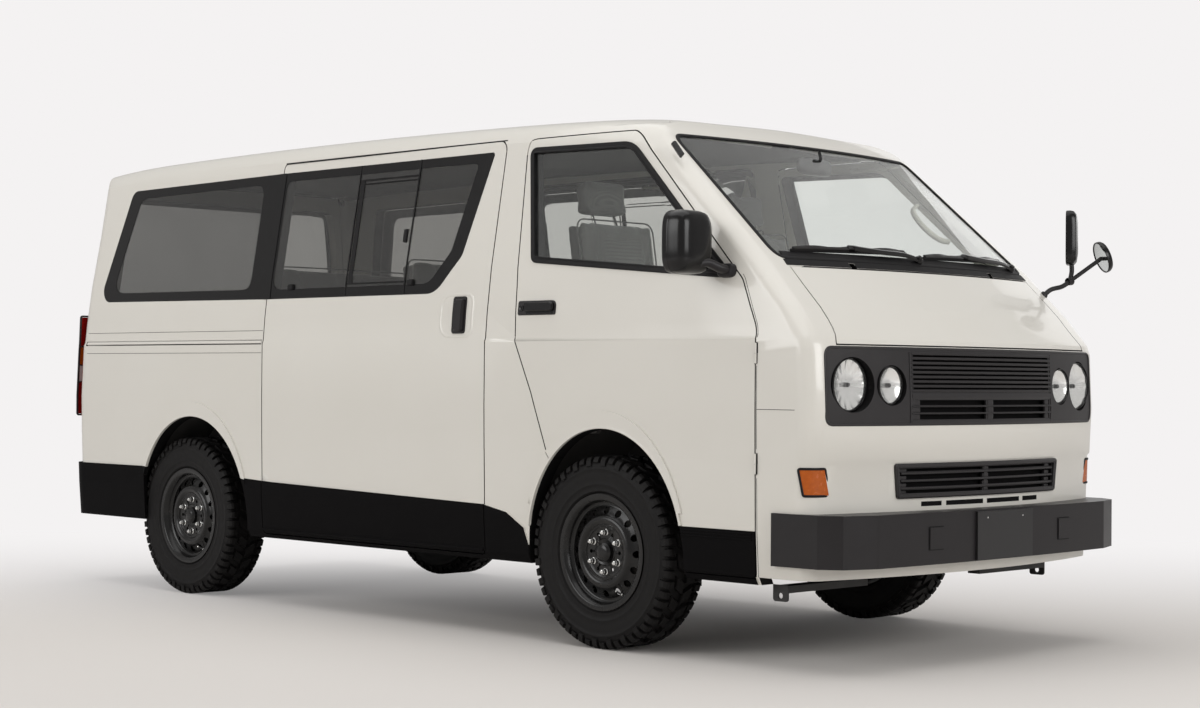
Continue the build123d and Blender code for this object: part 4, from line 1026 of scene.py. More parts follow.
@dataclass
class Bodywork:
    """Painted panels, their black lower cladding, jambs darkened as seal and painted shade, liners and inner
    trim.
    """

    skin_depth: float = 9.0
    # Cladding ahead of the front wheel: its rear and front X, and its top.
    front_cladding: Triple = (388, 732, 458)
    # X and |Y| of the front doors' hinge pins, and how far round them the paint is left off, for the gap's
    # near-black seal and painted shade.
    hinge: Point = (738.5, 847)
    hinge_reach: float = 17
    # |Y| of both walls of the slots for the bonnet's arms, and their foot; these walls carry painted shade.
    arm_slots: Triple = (385, 430, 1250)
    # Height above which the bonnet's painted arms are dressed near-black as painted shade.
    arm_height: float = 1337.5
    quarter_edge: float = -1980
    glass_relief: float = 0.3
    # Depth to which a gap's walls take the near-black seal finish, as rubber seal in part and painted shade
    # in part, where a face looks inwards and elsewhere.
    jamb_depths: Point = (16, 50)

    def depth(self, p: Vector, n: Vector) -> float:
        """Distance of a face inside the outer surface, in millimetres, less at a rounded corner."""
        gap = min(LINES.half(p.z) - abs(p.y), (LINES.nose(p.y, p.z) - p.x) * LINES.nose_normal(p.y, p.z).x,
                  p.x - LINES.tail(p.y, p.z))
        outward = n.y * math.copysign(1, p.y)
        if abs(n.x) > 0.22 and outward > 0.22 and gap < 32:
            gap *= 0.25
        above = LINES.roof(p.x, p.y) - p.z
        return min(gap, above * (0.35 if n.z > 0.15 and outward > -0.2 and above < 60 else 1))

    def clad(self, p: Vector, n: Vector) -> bool:
        """Whether a face belongs to the black lower cladding."""
        if abs(p.y) < LINES.half(p.z) - 8:
            return False
        low, high, top = self.front_cladding
        if low < p.x < high and p.z < top:
            return True
        first, last = CLADDING_LINE[0][0], CLADDING_LINE[-1][0]
        return first <= p.x <= last and p.z < LINES.between(CLADDING_LINE, p.x, 1)

    def arch(self, p: Vector, n: Vector) -> bool:
        """Whether a face is inside a wheel arch."""
        return p.z > 300 and any(
            math.hypot((p.x - x) / (width + 6), (p.z - WHEEL_HEIGHT) / (height + 6)) < 1.0
            for x, width, height, *_ in ARCHES)

    def outer(self, p: Vector, n: Vector) -> bool:
        """Whether a face is on the painted outside, and isn't the wall of a gap in a side panel."""
        if abs(n.y) < 0.6 and math.hypot(p.x - self.hinge[0], abs(p.y) - self.hinge[1]) < self.hinge_reach:
            return False
        # Walls of gaps in the side panels are kept off the paint, so that they take the gap's painted shade.
        if 0.3 < LINES.half(p.z) - abs(p.y) < self.skin_depth and abs(n.y) < 0.2:
            ends = min(LINES.nose(p.y, p.z) - p.x, p.x - LINES.tail(p.y, p.z), LINES.roof(p.x, p.y) - p.z)
            if ends > 30:
                return False
        return self.depth(p, n) < self.skin_depth

    def arm_slot(self, p: Vector, n: Vector) -> bool:
        """Whether a face is a wall of a slot that a hinge arm of the bonnet passes through."""
        inner, outer, low = self.arm_slots
        return n.x + n.z < 1.3 and inner < abs(p.y) < outer and p.z > low

    def near_nose(self, p: Vector, n: Vector) -> bool:
        """Whether a face is at the front of a grille or lamp panel."""
        return n.x > 0.5 and LINES.nose(p.y, p.z) - p.x < 12

    def gap_seal_and_shade(self, p: Vector, n: Vector) -> bool:
        """Whether a face is in a gap between panels, and doesn't look into the cabin: near-black, as rubber
        seal in part and as painted shade where the real walls are body colour.
        """
        return self.depth(p, n) < self.jamb_depths[n.y * math.copysign(1, p.y) >= -0.55]

    def inner(self, p: Vector, n: Vector) -> bool:
        """Whether a face is inside the cabin: all that are left."""
        return True

    def dress(self) -> None:
        """Dress every panel."""
        # Gap walls go to the near-black seal finish, partly for real rubber seals and partly as painted
        # shade.
        skin = [("cladding", Finishes.CHIP_COAT, self.clad), ("liner", Finishes.UNDERSEAL_AND_SHADE, self.arch),
                ("paint", Finishes.ENAMEL, self.outer), ("gap_seal_and_shade", Finishes.SEAL_AND_GAP_SHADE, self.gap_seal_and_shade)]
        trim = [*skin, ("trim", Finishes.TRIM, self.inner)]
        for node, body in (("side_frames", Body.SHELL), ("sliding_doors", Body.SHELL),
                           ("front_door_right", Body.DOOR_RIGHT), ("front_door_left", Body.DOOR_LEFT),
                           ("tailgate", Body.TAILGATE)):
            restyle(node, body, trim)
        restyle("roof_panel", Body.SHELL, [*skin, ("headliner", Finishes.HEADLINER, self.inner)])
        # The slot walls in the nose panel, and the bonnet's arms in them, are near-black as painted shade.
        restyle("nose_panel", Body.SHELL, [("slots", Finishes.UNDERSEAL_AND_SHADE, self.arm_slot), *skin,
                                           ("inside", Finishes.UNDERSEAL_AND_SHADE, self.inner)])
        restyle("bonnet", Body.BONNET, [("arms", Finishes.UNDERSEAL_AND_SHADE, lambda p, n: p.z > self.arm_height),
                                        ("paint", Finishes.ENAMEL, self.inner)])
        panes = [("quarter", Finishes.DEEP_TINT, lambda p, n: p.x < self.quarter_edge),
                 ("sliding", Finishes.PRIVACY, self.inner)]
        restyle("side_glass", Body.SHELL, panes, relief=self.glass_relief)
        for node, finish, body in (("windscreen", Finishes.CLEAR, Body.SHELL),
                                   ("tailgate_glass", Finishes.DEEP_TINT, Body.TAILGATE),
                                   ("front_glass_right", Finishes.DOOR_GLASS, Body.DOOR_RIGHT),
                                   ("front_glass_left", Finishes.DOOR_GLASS, Body.DOOR_LEFT)):
            restyle(node, body, [("pane", finish, self.inner)], relief=self.glass_relief)
        # Faces behind the front of the lamp panel and lower grille are near-black, as painted shade in their
        # recesses.
        for node in ("headlamp_panel", "lower_grille"):
            restyle(node, Body.SHELL, [("face", Finishes.SATIN, self.near_nose),
                                       ("depth", Finishes.UNDERSEAL_AND_SHADE, self.inner)])


@dataclass
class Carried:
    """CAD nodes whose shapes are right, given their finishes."""

    finishes: tuple[tuple[Finish, str], ...] = (
        (Finishes.VINYL, "floor_pan"), (Finishes.CASTING, "engine_block knuckle_right knuckle_left"),
        (Finishes.CHASSIS, "underframe suspension_arms rear_axle driveline"),
        (Finishes.UNDERSEAL_AND_SHADE, "fuel_tank"),
        (Finishes.DASH, "dashboard"), (Finishes.MOULDED, "front_bumper"), (Finishes.CHIP_COAT, "rear_bumper"),
        (Finishes.PLATE, "number_plate"), (Finishes.AMBER, "marker_lamps"), (Finishes.RED, "tail_lamps"))

    def dress(self) -> None:
        """Assign each node's finish."""
        for finish, nodes in self.finishes:
            for node in nodes.split():
                data = frame["nodes"][node].data
                data.materials.clear()
                data.materials.append(finish.material())
                log.info("%s: carried over in %s", node, finish.name)


# ---------------------------------------------------------------- windows, seals and mouldings


def side_loop(outline: Sequence[Point], out: float, side: int = -1) -> tuple[list[Vector], list[Vector]]:
    """Path and up directions of an outline of (X, Z) points laid on a body side."""
    return ([LINES.on_side(x, z, out, side) for x, z in outline],
            [LINES.side_normal(z, side) for _, z in outline])


def nose_loop(outline: Sequence[Point], out: float) -> tuple[list[Vector], list[Vector]]:
    """Path and up directions of an outline of (Y, Z) points laid on the nose."""
    return ([LINES.on_nose(y, z, out) for y, z in outline], [LINES.nose_normal(y, z) for y, z in outline])


@dataclass
class Windows:
    """Rubber frames, printed borders, pane joints and catches of every window."""

    door_frame: float = 22.0
    sliding_clear: tuple[Triple, ...] = (
        (-1950, 1318, 50), (-1950, 1776, 30), (-742, 1776, 20), (-838, 1440, 70), (-948, 1318, 90))
    quarter_clear: tuple[Triple, ...] = (
        (-3172, 1330, 70), (-3046, 1762, 60), (-2108, 1772, 55), (-2108, 1322, 55))
    pane_joints: tuple[float, float] = (-1460.0, -1088.0)
    pane_top: float = 1750.0
    pane_bottom: float = 1330.0
    catches: tuple[Point, ...] = ((-1822, 1326), (-1055, 1326))
    # Strips along the screen's foot, with gaps for the bonnet's arms: ends, height and width.
    screen_strips: tuple[tuple[float, float, float, float], ...] = (
        (-690, 690, 1380, 32), (-704, -420.5, 1352, 30), (-393.5, 393.5, 1352, 30),
        (420.5, 704, 1352, 30), (-422, -392, 1363.8, 17.4), (392, 422, 1363.8, 17.4))

    def build(self) -> None:
        """Build the parts of every window."""
        for side, tag, door in SIDES:
            self.front_frame(side).piece(f"door_window_rubber_{tag}", Finishes.SEAL_AND_GAP_SHADE, door)
            self.side_borders(side).piece(f"side_window_border_{tag}", Finishes.GLOSS_BLACK)
            self.panes(side).piece(f"sliding_pane_frame_{tag}", Finishes.SEAL_AND_GAP_SHADE)
            self.pillar_covers(side).piece(f"pillar_cover_{tag}", Finishes.GLOSS_BLACK)
        self.screen_border().piece("windscreen_border", Finishes.SEAL_AND_GAP_SHADE)
        self.rear_border().piece("rear_window_border", Finishes.SEAL_AND_GAP_SHADE, Body.TAILGATE)

    def front_frame(self, side: int) -> Shape:
        """Rubber frame round the front door's window, with a fine inner lip."""
        outline = rounded(FRONT_WINDOW)
        shape = Shape()
        for distance, section in ((self.door_frame / 2 - 8, crowned(self.door_frame, 5)),
                                  (self.door_frame - 10, crowned(7, 8))):
            shape.lay(side_loop(inset(outline, distance), 0.5, side), section, closed=True)
        return shape

    def side_borders(self, side: int) -> Shape:
        """Black printed borders on the flush side glass, wide at their ends."""
        shape = Shape()
        for outside, inside in ((SLIDING_WINDOW, self.sliding_clear), (QUARTER_WINDOW, self.quarter_clear)):
            middle_x, middle_z = [sum(values) / len(inside) for values in list(zip(*inside))[:2]]
            rings = []
            for loop in (inset(rounded(outside), 1.5), rounded(inside)):
                edge = [reach_of(loop, (middle_x, middle_z), 2 * math.pi * k / 288) for k in range(288)]
                rings.append([shape.mesh.verts.new(LINES.on_side(x, z, -0.65, side)) for x, z in edge])
            shape.skin(rings)
        return shape

    def pillar_covers(self, side: int) -> Shape:
        """Black covers that join the two windows across the door's rear gap."""
        line = run((-1982.5, 1278), (-1982.5, 1812), 10)
        return Shape().lay(side_loop(line, 0.4, side), crowned(43, 1.4, 0.3))

    def panes(self, side: int) -> Shape:
        """Joints between the sliding door's panes, the middle pane's channel, and the catches."""
        shape = Shape()
        first, second = self.pane_joints
        for a, b, width, height in (
                ((first, 1812), (first, 1280), 5, 2.0), ((second, 1812), (second - 6, 1280), 7, 2.6),
                ((first + 24, self.pane_top), (first + 24, self.pane_bottom), 24, 1.4),
                ((first + 8, self.pane_top), (second - 6, self.pane_top), 6, 3.0),
                ((first + 8, self.pane_top - 16), (second - 6, self.pane_top - 16), 5, 2.4),
                ((first + 8, self.pane_bottom), (second - 8, self.pane_bottom), 6, 3.0)):
            shape.lay(side_loop(run(a, b, 8), -0.8, side), crowned(width, height, 0.6))
        for x, z, wide, tall in ((second - 30, 1512, 20, 56), *[(x, z, 34, 26) for x, z in self.catches]):
            shape.block((wide, tall, 11), LINES.side_place(x, z, 4, side), 3, 3, 0.86)
        return shape

    def screen_border(self) -> Shape:
        """Bonded rubber round the windscreen, with the wide strips along its foot."""
        loop = nose_loop(inset(rounded(WINDSCREEN, 30), 5), 0.2)
        shape = Shape().lay(loop, crowned(15, 3.2), closed=True)
        for low, high, z, width in self.screen_strips:
            shape.lay(nose_loop(run((low, z), (high, z), 24), 0.2), crowned(width, 1.6, 0.5))
        return shape

    def rear_border(self) -> Shape:
        """Rubber round the tailgate's window."""
        outline = inset(rounded(REAR_WINDOW, 40), 7)
        path = [at(LINES.tail(y, z) + 1, y, z) for y, z in outline]
        return Shape().sweep(path, crowned(26, 3.5), Vector((-1, 0, 0.05)), closed=True)


@dataclass
class Mouldings:
    """Door-top moulding, painted shade on the panel seams, arch lips, cladding ribs, sill lips, rail covers
    and aerial socket.
    """

    seam: float = 2.6
    rail_seams: tuple[float, float] = (1147.0, 1054.0)
    nose_seam: float = 860.0
    roof_moulding: Triple = (-1972.0, -604.0, 1852.5)

    def build(self) -> None:
        """Build the mouldings on both sides."""
        self.roof().mirrored().piece("roof_mouldings", Finishes.SEAL_AND_GAP_SHADE)
        # Dark ridges laid on the seams and the shut line as painted shade.
        self.seams().mirrored().piece("panel_seam_shade_lines", Finishes.SEAL_AND_GAP_SHADE)
        for end, arch in zip(("front", "rear"), ARCHES):
            self.arch_lip(*arch).mirrored().piece(f"{end}_arch_lips", Finishes.ENAMEL)
        # Lip along the foot of the sill.
        sill = Shape().lay(side_loop(run((-1985, 316), (-605, 316), 23), 2), crowned(10, 6, 2))
        sill.mirrored().piece("sill_lips", Finishes.CHIP_COAT)
        self.ribs().piece("door_cladding_ribs_right", Finishes.CHIP_COAT, Body.DOOR_RIGHT)
        self.ribs().flipped().piece("door_cladding_ribs_left", Finishes.CHIP_COAT, Body.DOOR_LEFT)
        # Painted cover over the sliding door's rail, with a dark slit above and below it, where the groove's
        # walls carry painted shade.
        rail = Shape().lay(side_loop(run((-3344, 1100), (-1994, 1100), 30), -2.2), crowned(13, 1.4, 0.8))
        rail.mirrored().piece("rail_covers", Finishes.ENAMEL)
        # Socket of the pillar aerial, on the right only.
        socket = Shape().lay(side_loop(run((266, 1780), (314, 1732), 8), -3), crowned(20, 9, 4))
        socket.piece("aerial_socket", Finishes.GLOSS_BLACK)

    def roof(self) -> Shape:
        """Black moulding along the top of the right-hand sliding door."""
        start, end, z = self.roof_moulding
        spots = [LINES.on_roof(x, z, -1.5) for x, _ in run((start, z), (end, z), 30)]
        return Shape().sweep([spot for spot, _ in spots], crowned(7, 4.5), [up for _, up in spots])

    def seams(self) -> Shape:
        """Dark lines as painted shade on the seams of the quarter panel, and on the one from the door's front
        edge to the lamp panel.
        """
        edge = [p for p in inset(rounded(DOOR_FRONT, 12), -6.3) if p[0] > 640 and 302 < p[1] < 1310]
        lines = [[(-1989, z), (-2600, z), (-3340, z)] for z in self.rail_seams]
        for low, high in ((302, 640), (720, 1004), (1086, 1310)):
            lines.append(sorted([p for p in edge if low <= p[1] <= high], key=lambda p: p[1]))
        lines.append(run((742, self.nose_seam), (904, self.nose_seam), 6))
        half, shape = self.seam / 2, Shape()
        for line in lines:
            shape.lay(side_loop(line, 0.1), ridge(half, -1, half * 0.6, 0.35))
        return shape

    def arch_lip(self, x: float, width: float, height: float, start: float, end: float) -> Shape:
        """Rolled edge of one right-hand wheel arch.

        Args:
            x: middle of the arch.
            width: half its width.
            height: how far it rises above the wheel's middle.
            start: angle in degrees of its front end above the wheel's middle.
            end: angle of its rear end.

        Returns:
            The lip.
        """
        turns = [math.radians(turn) for turn, _ in run((start, 0), (end, 0), 48)]
        line = [(x + (width + 3) * math.cos(turn), WHEEL_HEIGHT + (height + 3) * math.sin(turn))
                for turn in turns]
        section = [(-4, -12), (4, -12), (4, 0.2), (1.5, 0.9), (-2, 0.7), (-4, 0)]
        return Shape().lay(side_loop(line, 7), section)

    def ribs(self) -> Shape:
        """Three ribs along the cladding of the right-hand front door."""
        shape = Shape()
        for z in (448, 438, 428):
            shape.lay(side_loop(run((402, z), (721, z), 11), 5), crowned(6, 1.8, 0.7))
        return shape


# ---------------------------------------------------------------- wheels


@dataclass
class Wheels:
    """Mud-terrain tyres and black steel wheels with chromed nuts."""

    radius: float = 342.0
    tread_depth: float = 13.0
    lugs: int = 56
    nut_circle: float = 69.85
    face: float = 62.0

    def build(self) -> None:
        """Build all four wheels."""
        places = (("front_right", Body.WHEEL_FR, -1), ("front_left", Body.WHEEL_FL, 1),
                  ("rear_right", Body.WHEEL_RR, -1), ("rear_left", Body.WHEEL_RL, 1))
        for tag, body, side in places:
            place = facing(middle(f"tyre_{tag}"), Vector((0, side, 0)))
            front = place @ shift(0, 0, self.face)
            self.tyre(place).piece(f"tyre_carcass_{tag}", Finishes.TYRE, body, (f"tyre_{tag}",), 40)
            self.lug_rows(place).piece(f"tyre_lugs_{tag}", Finishes.TYRE, body, (), 20)
            restyle(f"rim_{tag}", body, [("steel", Finishes.WHEEL_STEEL, lambda p, n: True)], 30)
            self.trim(place, front).piece(f"wheel_cap_{tag}", Finishes.WHEEL_STEEL, body)
            self.nuts(place, front).piece(f"wheel_nuts_{tag}", Finishes.CHROME, body, (), 25)

    def tyre(self, place: Matrix) -> Shape:
        """Tyre body with sidewall ridges, down to the bottom of its tread grooves."""
        base = self.radius - self.tread_depth
        side = [(190.5, 58), (191, 78), (204, 80), (209, 79), (214, 84), (217, 88), (222, 88.5), (224, 87.6),
                (238, 91.5), (240, 92.6), (243, 92.8), (245, 92.0), (262, 94.4), (280, 94.6), (292, 94),
                (294, 95.2), (298, 95.2), (300, 93.6), (310, 92), (320, 88), (base - 2, 80), (base, 70)]
        back = [(r, -y) for r, y in reversed(side)]
        return Shape().lathe([*side, (base, 40), (base, 0), (base, -40), *back], place, 112)

    def lug(self, shape: Shape, place: Matrix, section: Sequence[Point], turn: float, width: float,
            skew: float = 0.0, draft: float = 1.6) -> None:
        """Add one tread lug.

        Args:
            shape: shape that takes the lug.
            place: the wheel's place.
            section: (radius, sideways) outline, its outer run first and its base run last.
            turn: angle of the lug's middle.
            width: length round the tyre.
            skew: extra angle per millimetre sideways.
            draft: how much each flank of the top is drawn in.
        """
        half = len(section) // 2
        rings = []
        for end in (-1, 1):
            ring = []
            for k, (r, y) in enumerate(section):
                reach = width / 2 - (draft if k < half else -draft)
                angle = turn + skew * y + end * reach / self.radius
                spot = Vector((r * math.cos(angle), r * math.sin(angle), y)) * MM
                ring.append(shape.mesh.verts.new(place @ spot))
            rings.append(ring)
        shape.skin(rings).capped(rings)

    def lug_rows(self, place: Matrix) -> Shape:
        """Shoulder lugs that wrap over the sidewall, long and short in turn, and two rows of centre lugs."""
        shape = Shape()
        top, base = self.radius, self.radius - self.tread_depth - 2
        pitch = 2 * math.pi / self.lugs
        for k in range(self.lugs):
            reach, inner, wall = (308, 56, 97.4) if k % 2 else (320, 63, 96.8)
            crown = [(top, inner), (top, 80), (top - 5, 89), (top - 16, 95.5), (reach, wall)]
            foot = [(reach - 3, 92), (base - 6, 84), (base, 76), (base, 60), (base, inner)]
            for side, share in ((-1, 0.0), (1, 0.5)):
                section = [(r, side * y) for r, y in crown + foot]
                self.lug(shape, place, section, pitch * (k + share), 27)
        for k in range(self.lugs // 2):
            low, high = (7, 48) if k % 2 else (3, 42)
            for side, share in ((-1, 0.0), (1, 0.5)):
                corners = ((top, low), (top, high), (base, high + 2), (base, low - 2))
                section = [(r, side * y) for r, y in corners]
                self.lug(shape, place, section, 2 * pitch * (k + share), 44, side * 0.0018, 2.5)
        return shape

    def trim(self, place: Matrix, front: Matrix) -> Shape:
        """Rolled rim edge at the wheel's place, with the hub cap and two rings at its front face."""
        turns = [2 * math.pi * k / 10 for k in range(11)]
        shape = Shape().lathe([(200 + 6.2 * math.cos(a), 79.6 + 6.2 * math.sin(a)) for a in turns], place, 96)
        shape.lathe([(0, 20), (12, 20), (26, 18), (31, 14), (33.5, 6), (34, 1), (40, 1.5), (46, 4), (50, 1),
                     (52, -3)], front, 48)
        for radius, height in ((94, 3.0), (172, -14)):
            shape.lathe([(radius - 4, height - 5), (radius - 2, height), (radius + 2, height),
                         (radius + 4, height - 5)], front, 72)
        return shape

    def nuts(self, place: Matrix, front: Matrix) -> Shape:
        """Six domed hexagon nuts on the front face, and the tyre valve."""
        shape = Shape()
        for k in range(6):
            turn = math.pi * k / 3 + math.pi / 6
            spot = front @ shift(math.cos(turn) * self.nut_circle, math.sin(turn) * self.nut_circle, 0)
            shape.lathe([(13, -2), (13, 0), (10.6, 2)], spot, 24)
            shape.lathe([(10.8, 0), (11.2, 13), (9.6, 15)], spot, 6)
            shape.lathe([(9.2, 14), (8.2, 19), (5, 22.5), (0, 23.5)], spot, 18)
        spot = place @ Matrix.Rotation(math.radians(-62), 4, "Z") @ shift(168, 0, 50)
        spot = spot @ Matrix.Rotation(math.radians(-32), 4, "Y")
        valve = [(5, -6), (5, 8), (3.4, 10), (3.4, 26), (4.2, 27), (4.2, 34), (2, 36), (0, 36)]
        return shape.lathe(valve, spot, 14)


# ---------------------------------------------------------------- nose


@dataclass
class LampBank:
    """Four round headlamps in the satin panel, with the centre grille's ribs."""

    # Lamp holes: |Y|, Z and radius.
    outer: Triple = (672, 943, 91)
    inner: Triple = (503, 942, 67)
    panel_half: float = 788
    panel_low: float = 808
    panel_high: float = 1070
    grille_half: float = 414
    # Ribs above the lamps' middle line: count, top and pitch. Below it: height and thickness of each.
    upper_ribs: tuple[int, float, float] = (9, 1048.75, 15.5)
    lower_ribs: tuple[tuple[float, float], ...] = ((907, 20), (873, 6.5), (849, 6.5), (818, 15))

    def build(self) -> None:
        """Build the lamps and ribs."""
        rims, bowls, cups = Shape(), Shape(), Shape()
        outer_glass, inner_glass = Shape(), Shape()
        for side in (-1, 1):
            for (y, z, r), fluted in ((self.outer, True), (self.inner, False)):
                place = facing(at(LINES.nose(y + r, z) + 8, side * y, z), AHEAD)
                rim = ((0.6, -42), (0.6, -2), (3, 0.5), (6, 0.5), (8, -3), (9, -10))
                rims.lathe([(r - inward, height) for inward, height in rim], place, 64)
                dome = [((r - 8) * math.cos(a), -4 + 12 * math.sin(a)) for a in
                        [math.pi * k / 16 for k in range(8)]]
                glass = outer_glass if fluted else inner_glass
                glass.lathe([(r - 8, -7), *dome, (0, 8)], place, 56)
                bowl = [((r - 9) * (1 - u) + 14 * u, -8 - 13 * (1 - (1 - u) ** 2)) for u in
                        [k / 9 for k in range(10)]]
                facets = (lambda turn: 1 + 0.06 * abs(math.sin(7 * turn))) if fluted else None
                bowls.lathe([*bowl, (0, -21)], place, 96, facets)
                cups.lathe([(8, -21), (7.6, -9), (6, -6), (0, -5)], place, 24)
        rims.piece("headlamp_rims", Finishes.GLOSS_BLACK)
        bowls.piece("headlamp_bowls", Finishes.BOWL, Body.SHELL, ("headlamps",))
        cups.piece("headlamp_bulb_shields", Finishes.SATIN)
        outer_glass.piece("headlamp_lenses_outer", Finishes.FLUTED)
        inner_glass.piece("headlamp_lenses_inner", Finishes.LAMP_GLASS)
        self.grille().piece("centre_grille_ribs", Finishes.SATIN)

    def grille(self) -> Shape:
        """Ribs of the centre grille with the spacers between the lower ones, and the panel's rolled edge."""
        shape = Shape()
        count, top, pitch = self.upper_ribs
        for z, tall in [*[(top - pitch * k, 8.5) for k in range(count)], *self.lower_ribs]:
            half, flat = tall / 2, tall * 0.275
            section = [(-half, -6), (half, -6), (half, 1.5), (flat, 3.4), (-flat, 3.4), (-half, 1.5)]
            shape.lay(nose_loop(run((-self.grille_half, z), (self.grille_half, z), 28), 0), section)
        for z in (885, 861, 837):
            for y, wide in ((0, 44), (-388, 30), (388, 30)):
                shape.block((wide, 17, 8), LINES.nose_place(y, z, -5), 1.5)
        edge = panel((-self.panel_half, self.panel_low), (self.panel_half, self.panel_high), 34, 30)
        shape.lay(nose_loop(inset(edge, 5), 0.2), crowned(9, 3.0), closed=True)
        for y in (-418, 418):
            line = run((y, self.panel_low + 6), (y, self.panel_low + 246), 10)
            shape.lay(nose_loop(line, 0), crowned(6, 3.4, 1))
        return shape


@dataclass
class NoseTrim:
    """Lower grille frame, painted shade of the valance slots, marker lamp gaskets, plate screws and edge, and
    painted shade on the bumper's joints.
    """

    # Lower grille: half width at its foot and top, then foot and top.
    grille: tuple[float, float, float, float] = (466, 480, 566, 682)
    # Marker lamp: X, |Y| and Z of its middle, width and height.
    markers: tuple[float, float, float, float, float] = (948, 800, 626, 84, 84)
    # Towing-eye covers: |Y|, Z and size. Plate: width, height and Z. Slot shades: half width, Z and height.
    pads: Triple = (381, 437, 72)
    plate: Triple = (330, 165, 435)
    valance_slot_shades: Triple = (345, 545, 16)
    bumper_face: float = 1136.0

    def build(self) -> None:
        """Build the trim."""
        self.lower_frame().piece("lower_grille_frame", Finishes.SATIN)
        # Near-black strips on the valance, painted shade that stands for its slots.
        self.slots().piece("valance_slot_shades", Finishes.UNDERSEAL_AND_SHADE)
        self.marker_gasket().mirrored().piece("marker_lamp_gaskets", Finishes.SEAL_AND_GAP_SHADE)
        self.screws().piece("plate_screws", Finishes.CHROME)
        self.plate_edge().piece("plate_edge", Finishes.PLATE)
        # Dark lines laid on the bumper as painted shade for the gaps round its covers.
        self.bumper_lines().piece("bumper_gap_shade_lines", Finishes.SEAL_AND_GAP_SHADE)

    def lower_frame(self) -> Shape:
        """Rolled frame, bars and spacers of the lower grille."""
        bottom, top, low, high = self.grille
        edge = rounded([(bottom, low, 12), (top, high, 12), (-top, high, 12), (-bottom, low, 12)], 30)
        shape = Shape().lay(nose_loop(inset(edge, 8), 0), crowned(17, 13, 4), closed=True)
        for z in (599, 624, 649):
            shape.lay(nose_loop(run((-450, z), (450, z), 30), -2), crowned(8, 9, 2))
        for y in (0, 420, -435):
            for z in (583, 608, 633, 658):
                shape.block((34, 14, 10), LINES.nose_place(y, z, -6), 1.5)
        return shape

    def slots(self) -> Shape:
        """Four near-black strips below the lower grille, between three bars: painted shade for the slots."""
        half, z, tall = self.valance_slot_shades
        shape = Shape()
        for low, high in ((-half, -242), (-218, -12), (12, 218), (242, half)):
            shape.lay(nose_loop(run((low, z), (high, z), 8), 0.1), ridge(tall / 2, -1, tall / 2, 0.5))
        return shape

    def marker_gasket(self) -> Shape:
        """Rubber gasket round the right-hand marker lamp."""
        x, y, z, wide, tall = self.markers
        corners = [(-wide / 2 - 8, tall / 2, 5), (wide / 2 - 8, tall / 2, 5), (wide / 2 + 8, -tall / 2, 5),
                   (-wide / 2 + 8, -tall / 2, 5)]
        spots = [LINES.corner_from(x + a / math.sqrt(2), -y + a / math.sqrt(2), z + b, 0.3)
                 for a, b in inset(rounded(corners, 14), -2)]
        path, ups = zip(*spots)
        return Shape().sweep(path, crowned(8, 4.4, 1.4), ups, closed=True)

    def screws(self) -> Shape:
        """Two domed screws of the plate."""
        shape = Shape()
        for y in (-105, 105):
            place = facing(at(self.bumper_face + 5, y, 495.5), AHEAD)
            shape.lathe([(7.5, 0), (7.5, 1.0), (5, 2.4), (0, 2.9)], place, 20)
        return shape

    def plate_edge(self) -> Shape:
        """Raised border pressed into the blank plate."""
        wide, tall, z = self.plate
        half, rise = wide / 2 - 7, tall / 2 - 7
        path = [at(self.bumper_face + 6.4, y, height)
                for y, height in panel((-half, z - rise), (half, z + rise), 8, 40)]
        return Shape().sweep(path, crowned(4, 1.3, 0.5), AHEAD, closed=True)

    def bumper_lines(self) -> Shape:
        """Dark lines round the towing-eye covers: painted shade for their gaps."""
        shape = Shape()
        middle_y, middle_z, size = self.pads
        half = size / 2 + 2
        for y in (-middle_y, middle_y):
            edge = panel((y - half, middle_z - half), (y + half, middle_z + half), 3, 20)
            path = [at(self.bumper_face - 22 * (a / 674) ** 2 + 0.6, a, b) for a, b in edge]
            shape.sweep(path, ridge(2, -2, 2, 0.2), AHEAD, closed=True)
        return shape


